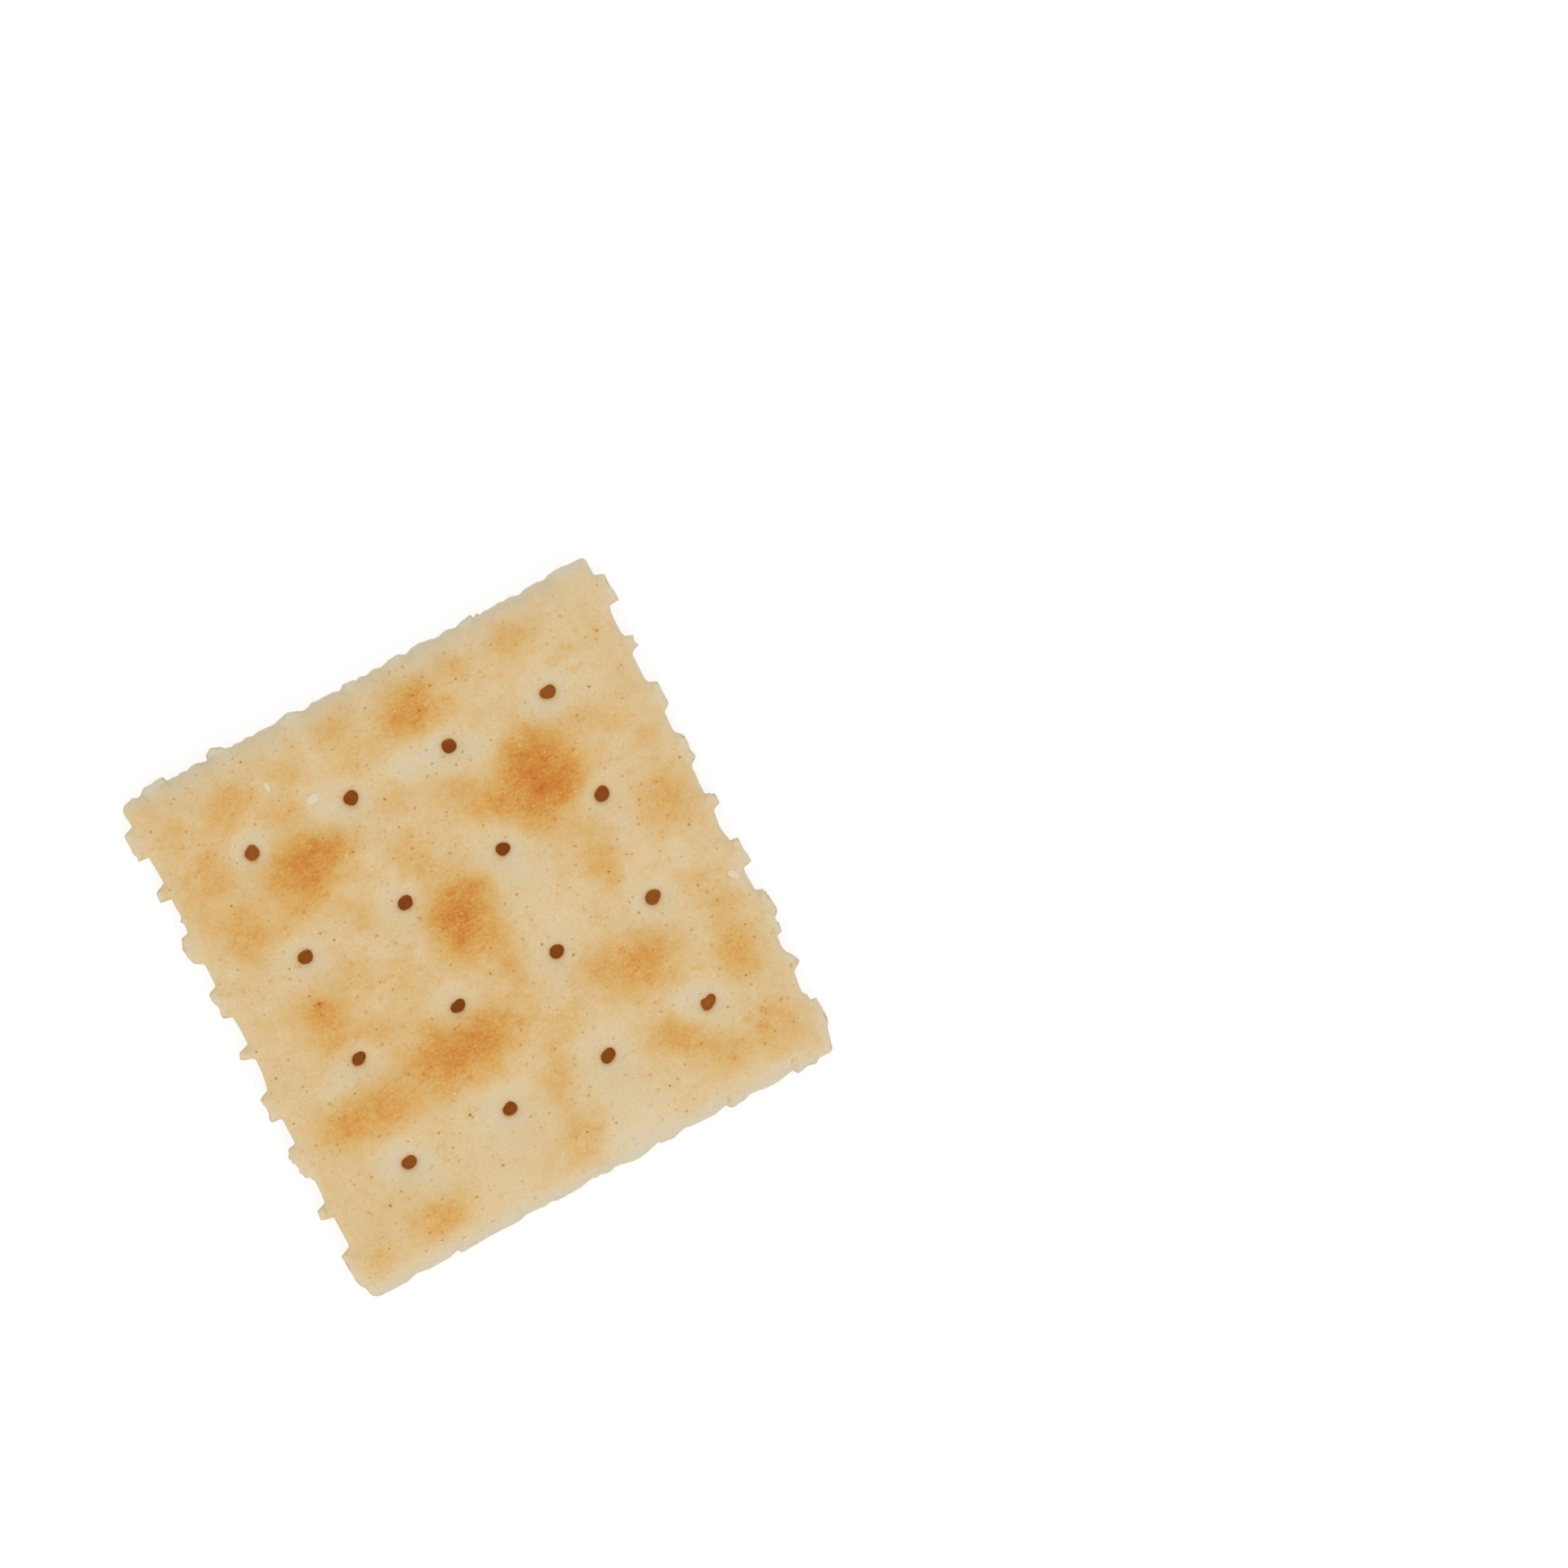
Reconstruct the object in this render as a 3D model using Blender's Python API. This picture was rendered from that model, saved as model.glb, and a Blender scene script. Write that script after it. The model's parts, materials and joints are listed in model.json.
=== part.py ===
"""Saltine cracker: one baked, square, docked cracker lying on its flat underside.

One solid.  +Z is up (the docked face), +Y runs along the slightly longer side,
and the origin is the middle of the underside.  All named sizes are in
millimetres and are turned into metres when the mesh is made.
"""
import math

import bpy
import bmesh
from mathutils import Vector
from mathutils.geometry import delaunay_2d_cdt

MM = 0.001

# ---- whole cracker ---------------------------------------------------------
EDGE_TOP = 2.30          # height of the upper skin where it reaches the cut line
EDGE_LOW = 0.45          # height of the rounded lower edge at the cut line
BODY_TOP = 3.35          # height of the upper skin on a docking line
ROLL = 2.7               # how far in from the cut line the skin rolls down
PILLOW = 0.70            # rise of the pillow between four docking holes
RESOLUTION = 1.55        # spacing of the points on the upper skin

# ---- docking holes ---------------------------------------------------------
DOCKS = 4                # holes along each side
DOCK_PITCH_X = 10.28
DOCK_PITCH_Y = 10.62
DOCK_MID = (0.09, -0.25)  # middle of the docking pattern
DOCK_LEAN = (0.014, 0.0095)  # the docking roller ran a little out of square
DOCK_RADIUS = 0.70
DOCK_FLOOR = 0.85        # height of the blind end of a hole
DOCK_SIDES = 10
FUNNEL_DEPTH = 0.34      # the skin dips towards each hole
FUNNEL_RADIUS = 1.75
PIT_RADIUS = 0.62        # mark of the docking pin on the underside
PIT_DEPTH = 0.30

# ---- cut lines -------------------------------------------------------------
# Each side stands off the middle by a cut line, which wanders a little between
# the places named here: (place along the side, distance from the middle).
LEFT_LINE = ((-25.5, 24.22), (-8.0, 24.15), (-3.0, 23.80), (2.0, 23.72), (7.5, 23.82), (17.5, 23.64), (24.0, 23.88))
RIGHT_LINE = ((-25.5, 23.25), (-18.9, 23.32), (-14.7, 23.62), (-8.0, 23.83), (-2.5, 23.80), (3.0, 24.06),
              (8.0, 24.13), (14.0, 24.04), (18.5, 24.10), (23.8, 24.36))
FAR_LINE = ((-23.0, 24.80), (-18.0, 24.98), (-10.0, 24.95), (-5.0, 24.84), (10.0, 24.96), (24.0, 25.00))
NEAR_LINE = ((-24.0, 25.45), (-16.0, 25.46), (-8.0, 25.44), (0.0, 25.40), (8.0, 25.30), (16.0, 25.32), (24.0, 25.32))

# Teeth are the torn bridges to the next cracker, on the left and right:
# (from, to, how far out at each of those two ends, crown).  A crown of 0 is
# level, above 0 it is domed, below 0 it has a horn at each end.
LEFT_TEETH = (
    (-27.0, -20.65, 0.98, 1.05, 0.00), (-17.25, -16.05, 1.14, 1.06, 0.04), (-13.10, -9.80, 0.74, 1.06, 0.10),
    (-7.12, -4.50, 1.02, 1.12, -0.14), (-0.97, 0.12, 1.24, 1.10, 0.04), (3.22, 6.10, 0.86, 0.98, -0.10),
    (8.85, 11.70, 1.00, 1.14, 0.30), (15.28, 16.65, 1.04, 0.90, 0.02), (19.64, 22.62, 1.04, 1.10, 0.04),
)
RIGHT_TEETH = (
    (-27.0, -20.28, 0.86, 0.80, 0.00), (-17.10, -15.70, 0.84, 0.86, 0.55), (-13.62, -11.90, 0.60, 0.50, 0.05),
    (-12.00, -9.22, 1.14, 0.82, 0.08), (-6.65, -4.05, 1.00, 0.90, 0.03), (-0.62, 0.66, 0.82, 0.80, -0.04),
    (4.05, 6.95, 0.66, 0.72, 0.10), (9.45, 12.22, 0.80, 0.88, 0.02), (15.58, 16.96, 0.82, 0.78, -0.10),
    (20.23, 23.16, 1.16, 0.86, -0.02),
)
# Scallops of the far and near sides: (from, to, how far out, crown).
FAR_TEETH = (
    (-23.3, -22.2, 0.16, 0.5), (-21.45, -19.05, 0.54, 0.12), (-16.8, -15.2, 0.20, 0.5), (-14.75, -12.75, 0.82, 0.45),
    (-12.5, -10.6, 0.09, 0.3), (-10.4, -8.2, 0.09, 0.3), (-7.8, -5.25, 0.42, 0.45), (-4.5, -1.7, 0.22, 0.2),
    (-0.95, 1.45, 0.30, 0.5), (1.7, 2.95, 0.24, 0.5), (3.15, 5.75, 0.42, 0.5), (6.1, 8.8, 0.36, 0.4),
    (9.1, 10.9, 0.22, 0.4), (11.15, 12.85, 0.46, 0.45), (13.35, 15.9, 0.16, 0.3), (16.05, 17.4, 0.12, 0.3),
    (17.7, 19.9, 0.24, 0.4), (20.2, 27.0, 0.36, 0.05),
)
NEAR_TEETH = (
    (-27.0, -20.3, 0.36, 0.02), (-20.05, -16.05, 0.26, 0.35), (-15.6, -8.6, 0.27, 0.10), (-8.2, -6.3, 0.12, 0.4),
    (-5.95, -1.85, 0.25, 0.20), (-1.1, 0.6, 0.20, 0.5), (0.85, 4.9, 0.42, 0.45), (5.15, 7.7, 0.30, 0.35),
    (8.1, 11.95, 0.24, 0.45), (12.3, 14.6, 0.42, 0.30), (14.9, 19.05, 0.28, 0.40), (19.25, 22.0, 0.36, 0.05),
)
FLANK = 0.42             # width of the sloping side of a tooth
CORNERS = {"near_left": 2.20, "near_right": 0.45, "far_right": 0.45, "far_left": 0.90}
CORNER_SLANT, CORNER_SLANT_FROM = 0.36, -22.5   # the near right corner is broken on a slant
BOX_SHIFT = (-0.005, 0.016)  # puts the middle of the whole outline on the origin

# ---- blisters of the upper skin: place, length along X, along Y, rise -------
BLISTERS = (
    (11.6, 10.8, 4.2, 4.6, 0.62), (5.6, 20.6, 3.4, 3.4, 0.40), (-10.8, 12.2, 5.0, 3.6, 0.52),
    (-0.8, 2.2, 3.8, 4.2, 0.48), (-5.6, -9.2, 4.8, 3.2, 0.50), (-16.4, -9.6, 4.2, 2.8, 0.36),
    (11.2, -9.4, 4.6, 3.0, 0.38), (-16.8, 0.4, 2.6, 3.6, 0.26), (13.2, -17.4, 5.2, 3.2, 0.34),
    (20.6, -12.6, 2.8, 3.0, 0.26), (20.4, 2.4, 2.8, 3.2, 0.28), (-15.6, -21.0, 3.8, 2.8, 0.26),
    (-15.4, 20.2, 3.6, 2.6, 0.28), (0.8, -19.6, 3.2, 4.0, 0.20), (-20.4, 15.4, 2.6, 3.4, 0.18),
)

# ---- the rim, from the underside up: inset, share of the teeth, height ------
RIM = (
    (1.15, 0.30, 0.00),
    (0.42, 0.80, 0.16),
    (0.04, 0.98, EDGE_LOW),
    (0.00, 1.00, 1.15),
    (0.10, 0.99, 1.75),
)
SKIN_INSET, SKIN_SHARE = 0.34, 0.94   # where the upper skin meets the rim


def smooth(t):
    t = min(max(t, 0.0), 1.0)
    return t * t * (3.0 - 2.0 * t)


def tooth(s, row):
    """How far one tooth or scallop stands out at place s along its side."""
    start, stop, crown = row[0], row[1], row[-1]
    if s < start - FLANK or s > stop + FLANK:
        return 0.0
    t = min(max((s - start) / (stop - start), 0.0), 1.0)
    out = row[2] + (row[-2] - row[2]) * t
    bend = (2.0 * t - 1.0) ** 2
    out *= 1.0 - crown * bend if crown > 0 else 1.0 + crown * (1.0 - bend)
    return out * smooth((s - start) / FLANK + 0.5) * smooth((stop - s) / FLANK + 0.5)


def line_at(s, line):
    """Where the wandering cut line runs at place s along its side."""
    if s <= line[0][0]:
        return line[0][1]
    for (s0, y0), (s1, y1) in zip(line[:-1], line[1:]):
        if s <= s1:
            return y0 + (y1 - y0) * smooth((s - s0) / (s1 - s0))
    return line[-1][1]


def ripple(s, phase):
    """The small waviness of a torn edge."""
    return 0.012 * math.sin(3.9 * s + phase) + 0.012 * math.sin(7.3 * s + 2.0 * phase)


def side_reach(s, line, teeth, inset, share, phase):
    """Distance of the outline from the middle at place s along a side."""
    bumps = max([0.0] + [tooth(s, row) for row in teeth])
    return line_at(s, line) + ripple(s, phase) - inset + share * bumps


def outline(inset, share, places):
    """One loop round the cracker, counter-clockwise seen from above."""
    half = 25.0
    shrink = 1.0 - inset / half

    def near(s):
        return Vector((s * shrink, -side_reach(s, NEAR_LINE, NEAR_TEETH, inset, share, 0.7)))

    def right(s):
        slant = CORNER_SLANT * max(0.0, CORNER_SLANT_FROM - s)
        return Vector((side_reach(s, RIGHT_LINE, RIGHT_TEETH, inset, share, 2.1) - slant, s * shrink))

    def far(s):
        return Vector((s * shrink, side_reach(s, FAR_LINE, FAR_TEETH, inset, share, 4.4)))

    def left(s):
        return Vector((-side_reach(s, LEFT_LINE, LEFT_TEETH, inset, share, 5.6), s * shrink))

    rows = {
        "near": [near(s) for s in places["near"]],
        "right": [right(s) for s in places["right"]],
        "far": [far(s) for s in places["far"]],
        "left": [left(s) for s in places["left"]],
    }
    loop = []
    order = (("near", "right", True), ("right", "far", False), ("far", "left", True), ("left", "near", False))
    for name, following, along_x in order:
        loop += rows[name]
        a, b = rows[name][-1], rows[following][0]
        corner = Vector((b.x, a.y)) if along_x else Vector((a.x, b.y))
        for step in (0.33, 0.67):
            loop.append(a * (1 - step) ** 2 + corner * 2 * step * (1 - step) + b * step ** 2)
    return loop


def places_along(reach, start, stop):
    """Places along a side: close together where the cut line bends."""
    fine = 0.06
    count = int(round(abs(stop - start) / fine))
    track = [(start + (stop - start) * i / count) for i in range(count + 1)]
    pts = [Vector((s, reach(s))) for s in track]
    keep = {0, count}

    def split(a, b):
        if b - a < 2:
            return
        chord = pts[b] - pts[a]
        length = chord.length
        worst, at = 0.0, None
        for i in range(a + 1, b):
            away = pts[i] - pts[a]
            off = abs(chord.x * away.y - chord.y * away.x) / length
            if off > worst:
                worst, at = off, i
        if at is not None and (worst > 0.05 or length > 2.4):
            if worst < 0.01:
                at = (a + b) // 2
            keep.add(at)
            split(a, at)
            split(at, b)

    split(0, count)
    return [track[i] for i in sorted(keep)]


def make_places():
    r = CORNERS
    ends = {
        "near": (-25.15 + r["near_left"], 23.45 - r["near_right"]),
        "right": (-25.35 + r["near_right"], 25.15 - r["far_right"]),
        "far": (24.30 - r["far_right"], -23.80 + r["far_left"]),
        "left": (24.95 - r["far_left"], -25.75 + r["near_left"]),
    }
    looks = {
        "near": (NEAR_LINE, NEAR_TEETH, 0.7), "right": (RIGHT_LINE, RIGHT_TEETH, 2.1),
        "far": (FAR_LINE, FAR_TEETH, 4.4), "left": (LEFT_LINE, LEFT_TEETH, 5.6),
    }
    out = {}
    for name, (start, stop) in ends.items():
        line, teeth, phase = looks[name]
        out[name] = places_along(
            lambda s: side_reach(s, line, teeth, 0.0, 1.0, phase), start, stop)
    return out


def dock_centres():
    first = -(DOCKS - 1) / 2.0
    for i in range(DOCKS):
        for j in range(DOCKS):
            gx, gy = (first + i) * DOCK_PITCH_X, (first + j) * DOCK_PITCH_Y
            yield Vector((DOCK_MID[0] + gx + DOCK_LEAN[0] * gy, DOCK_MID[1] + gy + DOCK_LEAN[1] * gx))


def edge_distance(x, y):
    """Distance in from the cut lines, with the corners rounded."""
    gaps = (24.0 - x, 24.0 + x, 25.1 - y, 25.3 + y)
    soft = 0.55
    lowest = min(gaps)
    return lowest - soft * math.log(sum(math.exp(-(g - lowest) / soft) for g in gaps))


def skin_height(x, y):
    """Height of the upper skin, holes left out."""
    d = edge_distance(x, y)
    t = min(max((d + 0.4) / ROLL, 0.0), 1.0)
    rise = math.sqrt(max(0.0, 1.0 - (1.0 - t) ** 2))
    z = EDGE_TOP + (BODY_TOP - EDGE_TOP) * rise
    px = math.pi * (x - DOCK_MID[0]) / DOCK_PITCH_X
    py = math.pi * (y - DOCK_MID[1]) / DOCK_PITCH_Y
    # with four holes the middle of the pattern lies between holes
    puff = 1.0 - abs(math.sin(px) * math.sin(py)) ** 1.4
    inside = smooth((d - 0.3) / 3.2)
    z += PILLOW * puff * inside
    for bx, by, lx, ly, rise in BLISTERS:
        z += rise * math.exp(-(((x - bx) / lx) ** 2 + ((y - by) / ly) ** 2) * 1.3) * inside
    z += 0.05 * math.sin(0.9 * x + 1.3) * math.sin(1.1 * y + 0.4) * inside
    for c in CENTRES:
        r2 = (x - c.x) ** 2 + (y - c.y) ** 2
        if r2 < 25.0:
            z -= FUNNEL_DEPTH * math.exp(-r2 / FUNNEL_RADIUS ** 2)
    return z


def ring(centre, radius, sides, turn=0.0, squash=1.0):
    """An uneven round, a little longer towards the far right."""
    pts = []
    for k in range(sides):
        a = 2.0 * math.pi * k / sides + turn
        r = radius * (1.0 + 0.07 * math.cos(2.0 * (a - 0.5)) * squash)
        pts.append(Vector((centre.x + r * math.cos(a), centre.y + r * math.sin(a))))
    return pts


def cap(border, rings, scatter):
    """Triangles that fill a border, less the rings, through scattered points."""
    pts = list(border)
    faces_in = [list(range(len(border)))]
    for one in rings:
        start = len(pts)
        pts += one
        faces_in.append(list(range(start, start + len(one))))
    fixed = len(pts)
    pts += scatter
    verts, _edges, faces, origins, _eo, face_origins = delaunay_2d_cdt(pts, [], faces_in, 1, 1e-7, True)
    assert len(verts) == len(pts), "points merged in the cap"
    back = [o[0] for o in origins]
    keep = []
    for f, owners in zip(faces, face_origins):
        if 0 in owners and len(owners) == 1:
            keep.append([back[i] for i in f])
    return pts, fixed, keep


CENTRES = list(dock_centres())


def scattered(border_inset):
    """Points of a staggered grid that keep clear of the rim and the holes."""
    pts = []
    row = 0
    dy = RESOLUTION * math.sqrt(3.0) / 2.0
    y = -25.2
    while y < 25.2:
        x = -24.3 + (0.5 * RESOLUTION if row % 2 else 0.0)
        while x < 24.4:
            gap = min(24.0 - x, 24.0 + x, 25.1 - y, 25.3 + y)
            clear = min((Vector((x, y)) - c).length for c in CENTRES)
            if gap > border_inset and clear > DOCK_RADIUS + 1.35:
                pts.append(Vector((x + 0.11 * math.sin(3.1 * y + x), y + 0.11 * math.sin(2.7 * x - y))))
            x += RESOLUTION
        row += 1
        y += dy
    return pts


def vertex(bm, x, y, z):
    return bm.verts.new(((x + BOX_SHIFT[0]) * MM, (y + BOX_SHIFT[1]) * MM, z * MM))


def make_mesh():
    places = make_places()
    levels = [outline(inset, share, places) for inset, share, _z in RIM]
    skin = outline(SKIN_INSET, SKIN_SHARE, places)
    n = len(skin)
    bm = bmesh.new()

    # the rim: bands of faces from the underside up to the upper skin
    loops = []
    for loop, (_i, _s, z) in zip(levels, RIM):
        loops.append([vertex(bm, p.x, p.y, z) for p in loop])
    loops.append([vertex(bm, p.x, p.y, skin_height(p.x, p.y)) for p in skin])
    for low, high in zip(loops[:-1], loops[1:]):
        for k in range(n):
            m = (k + 1) % n
            bm.faces.new((low[k], low[m], high[m]))
            bm.faces.new((low[k], high[m], high[k]))

    # the upper skin, with a blind hole at each docking point
    mouths = [ring(c, DOCK_RADIUS, DOCK_SIDES, 0.3 * k) for k, c in enumerate(CENTRES)]
    around = []
    for k, c in enumerate(CENTRES):
        around += ring(c, DOCK_RADIUS + 0.45, DOCK_SIDES, 0.3 * k + 0.3, 0.6)
        around += ring(c, DOCK_RADIUS + 1.15, DOCK_SIDES, 0.3 * k, 0.3)
    pts, fixed, faces = cap(skin, mouths, around + scattered(1.35))
    verts = []
    for i, p in enumerate(pts):
        if i < n:
            verts.append(loops[-1][i])
        else:
            verts.append(vertex(bm, p.x, p.y, skin_height(p.x, p.y)))
    for f in faces:
        bm.faces.new([verts[i] for i in f])
    start = n
    for k, c in enumerate(CENTRES):
        mouth = verts[start:start + DOCK_SIDES]
        start += DOCK_SIDES
        floor = [vertex(bm, p.x, p.y, DOCK_FLOOR) for p in ring(c, DOCK_RADIUS * 0.82, DOCK_SIDES, 0.3 * k)]
        tip = vertex(bm, c.x, c.y, DOCK_FLOOR - 0.08)
        for a in range(DOCK_SIDES):
            b = (a + 1) % DOCK_SIDES
            bm.faces.new((mouth[a], floor[a], floor[b]))
            bm.faces.new((mouth[a], floor[b], mouth[b]))
            bm.faces.new((floor[a], tip, floor[b]))

    # the flat underside, with the mark of each docking pin
    pits = [ring(c, PIT_RADIUS, 8) for c in CENTRES]
    pts, fixed, faces = cap(levels[0], pits, [])
    under = [loops[0][i] if i < n else vertex(bm, p.x, p.y, 0.0) for i, p in enumerate(pts)]
    for f in faces:
        bm.faces.new([under[i] for i in reversed(f)])
    start = n
    for c in CENTRES:
        lip = under[start:start + 8]
        start += 8
        tip = vertex(bm, c.x, c.y, PIT_DEPTH)
        for a in range(8):
            bm.faces.new((lip[(a + 1) % 8], lip[a], tip))

    bmesh.ops.recalc_face_normals(bm, faces=bm.faces[:])
    mesh = bpy.data.meshes.new("cracker")
    bm.to_mesh(mesh)
    bm.free()
    return mesh


def make_material():
    mat = bpy.data.materials.new("baked_crust")
    mat.use_nodes = True
    shader = mat.node_tree.nodes["Principled BSDF"]
    shader.inputs["Base Color"].default_value = (0.716, 0.539, 0.323, 1.0)
    shader.inputs["Roughness"].default_value = 0.82
    shader.inputs["Metallic"].default_value = 0.0
    return mat


def main():
    for old in list(bpy.data.objects):
        bpy.data.objects.remove(old, do_unlink=True)
    mesh = make_mesh()
    mesh.materials.append(make_material())
    cracker = bpy.data.objects.new("cracker", mesh)
    bpy.context.scene.collection.objects.link(cracker)
    mesh.shade_smooth()
    mesh.set_sharp_from_angle(angle=math.radians(50.0))
    return cracker


main()
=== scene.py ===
"""Looks of a saltine cracker: its baked skin, docking holes, torn teeth and salt.

The crust is one closed mesh made in code.  Its shape works in millimetres, in a
pattern frame that is squared up to the docking holes; every vertex is shifted
by BOX_SHIFT and turned into metres at the end.
"""

import json
import math

import bmesh
import bpy
import numpy as np
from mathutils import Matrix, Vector
from mathutils.bvhtree import BVHTree
from mathutils.geometry import delaunay_2d_cdt

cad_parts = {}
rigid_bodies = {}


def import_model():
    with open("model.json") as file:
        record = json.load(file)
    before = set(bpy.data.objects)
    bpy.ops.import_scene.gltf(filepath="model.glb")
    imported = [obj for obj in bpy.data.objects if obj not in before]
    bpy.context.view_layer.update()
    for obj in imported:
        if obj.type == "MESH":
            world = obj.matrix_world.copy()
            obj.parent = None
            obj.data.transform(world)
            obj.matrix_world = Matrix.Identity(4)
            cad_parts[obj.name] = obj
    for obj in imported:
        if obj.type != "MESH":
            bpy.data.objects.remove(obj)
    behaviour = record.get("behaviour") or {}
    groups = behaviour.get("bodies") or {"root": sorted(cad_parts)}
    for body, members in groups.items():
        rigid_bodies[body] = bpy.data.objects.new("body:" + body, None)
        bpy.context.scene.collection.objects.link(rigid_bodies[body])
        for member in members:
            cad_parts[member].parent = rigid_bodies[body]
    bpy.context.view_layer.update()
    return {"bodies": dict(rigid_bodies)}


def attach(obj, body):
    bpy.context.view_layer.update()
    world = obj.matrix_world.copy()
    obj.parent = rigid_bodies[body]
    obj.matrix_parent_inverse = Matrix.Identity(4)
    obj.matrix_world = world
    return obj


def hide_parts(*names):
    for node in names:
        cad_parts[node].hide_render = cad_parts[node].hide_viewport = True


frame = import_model()

MM = 0.001
BOX_SHIFT = (-0.005, 0.016)

# ---- sizes of the cracker, in mm -------------------------------------------
BODY_TOP = 3.35          # height of the upper skin on a docking line
TOOTH_TOP = 2.22         # height of the skin on a tooth
ROLL = 3.1               # how far in the skin rises from the cut line
PILLOW = 0.70            # rise of the pillows between the docking holes
DOCK_MID = (0.09, -0.25)
DOCK_PITCH = (10.28, 10.62)
HOLE_FLOOR = 1.75        # the holes are blind: their ends lie at this height
FUNNEL_DEPTH, FUNNEL_RADIUS = 0.34, 1.75
PIT_RADIUS, PIT_DEPTH = 0.62, 0.30

# ---- detail ----------------------------------------------------------------
AROUND = 1580            # points round the outline
LATTICE = 0.268          # spacing of the points on the upper skin
UNDER_LATTICE = 0.62     # and on the underside
OFFSET_STEP, OFFSETS = 0.06, 21
HOLE_SIDES = 44

# ---- cut lines: (place along the side, distance from the middle) -----------
LINES = {
    "left": ((-25.50, 24.14), (-16.50, 24.23), (-13.50, 24.18), (-5.00, 24.16), (-3.20, 23.83), (-1.40, 23.74), (1.50, 23.72),
             (5.00, 23.86), (8.50, 23.78), (13.00, 23.72), (17.00, 23.61), (20.50, 23.73), (24.00, 23.77)),
    "right": ((-25.50, 23.36), (-19.00, 23.31), (-17.30, 23.52), (-15.40, 23.53), (-13.80, 23.69), (-9.00, 23.88), (-7.00, 23.83),
             (-4.00, 23.96), (-2.60, 23.76), (-0.60, 23.98), (1.40, 23.96), (3.80, 24.12), (7.40, 24.13), (9.30, 24.21),
             (13.00, 24.04), (15.40, 24.09), (18.00, 24.11), (20.20, 24.17), (23.80, 24.38)),
    "far": ((-23.60, 24.78), (-22.40, 24.87), (-19.00, 24.95), (-15.10, 24.88), (-10.20, 24.91), (-7.80, 24.95), (-5.00, 24.80),
             (-1.30, 24.84), (3.00, 24.96), (8.90, 24.98), (12.85, 24.91), (15.90, 25.01), (17.40, 24.89), (20.00, 25.04),
             (24.00, 25.04)),
    "near": ((-24.50, 25.54), (-20.00, 25.56), (-15.80, 25.44), (-6.00, 25.55), (-1.70, 25.42), (0.60, 25.46), (5.10, 25.35),
             (7.80, 25.29), (12.20, 25.24), (14.80, 25.39), (19.10, 25.31), (21.90, 25.45), (24.00, 25.49)),
}

# ---- what stands out from the cut lines ------------------------------------
# Teeth and lobes: (from, to, how far out at each end, width of the slope at each
# end, torn share).  Torn 1 is a broken bridge with open layers, 0 a sealed edge.
LOBES = {
    "left": (
        (-27.09, -20.71, 0.83, 1.14, 0.07, 0.70, 0.9), (-17.34, -16.08, 1.16, 1.04, 0.36, 0.56, 1),
        (-13.21, -9.93, 0.64, 0.89, 0.39, 0.32, 1), (-13.59, -12.55, 0.16, 0.35, 0.35, 1.49, 0.8),
        (-7.21, -4.55, 0.74, 0.91, 0.08, 0.58, 1), (-0.99, 0.04, 1.32, 1.06, 0.51, 0.48, 1),
        (3.16, 6.09, 0.81, 0.93, 0.43, 0.58, 1), (8.76, 11.66, 0.79, 0.67, 0.61, 0.26, 1),
        (15.26, 16.59, 1.07, 1.03, 0.24, 0.71, 1), (19.58, 22.53, 1.10, 1.03, 0.15, 0.56, 1),
    ),
    "right": (
        (-26.93, -20.35, 0.56, 0.91, 1.11, 0.16, 0.8), (-20.64, -19.62, 0.32, 0.30, 0.55, 0.44, 0.4),
        (-17.04, -15.39, 1.10, 0.41, 0.95, 1.69, 1), (-13.69, -11.59, 0.56, 0.90, 0.21, 0.59, 1),
        (-12.29, -9.36, 1.22, 0.77, 1.90, 0.77, 1), (-6.73, -4.06, 0.84, 0.78, 0.23, 0.11, 1),
        (-0.70, 0.52, 0.85, 0.78, 0.51, 0.07, 1), (0.32, 0.76, 0.46, 0.43, 0.47, 0.18, 1),
        (3.87, 6.86, 0.90, 0.61, 0.97, 0.97, 1), (9.42, 12.11, 0.70, 0.88, 0.75, 0.47, 1),
        (15.59, 16.85, 0.91, 0.56, 1.09, 0.30, 1), (20.13, 23.08, 0.99, 0.93, 0.06, 0.52, 1),
    ),
    "far": (
        (-21.49, -19.03, 0.51, 0.56, 0.86, 0.34, 1), (-14.76, -13.00, 0.49, 0.61, 0.12, 0.57, 1),
        (-7.49, -5.27, 0.20, 0.26, 0.88, 0.76, 0.9), (-4.31, -1.51, 0.19, 0.18, 0.85, 0.69, 0.1),
        (-0.85, 0.52, 0.39, 0.22, 0.62, 0.21, 0.9), (3.60, 5.34, 0.18, 0.37, 1.06, 0.84, 0.7),
        (6.24, 8.55, 0.28, 0.14, 0.87, 0.49, 0.2), (11.20, 12.77, 0.19, 0.49, 0.84, 0.28, 1),
        (17.88, 19.64, 0.20, 0.11, 0.74, 0.29, 0.2), (20.46, 27.02, 0.18, 0.15, 0.49, 1.59, 0.7),
    ),
    "near": (
        (-27.08, -20.44, 0.21, 0.26, 0.07, 1.29, 0.6), (-19.26, -16.07, 0.21, 0.28, 1.70, 1.28, 0.2),
        (-15.49, -8.93, 0.38, 0.20, 0.45, 1.16, 0.8), (-7.31, -6.49, 0.08, 0.18, 1.60, 1.15, 0.2),
        (-5.65, -2.36, 0.16, 0.24, 0.54, 1.69, 0.8), (-0.57, 0.35, 0.18, 0.23, 0.72, 0.65, 0.6),
        (8.19, 11.59, 0.14, 0.34, 1.01, 1.66, 0.2), (12.44, 14.40, 0.50, 0.23, 0.60, 0.82, 1),
        (19.30, 21.58, 0.44, 0.36, 0.44, 0.57, 1),
    ),
}
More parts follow.
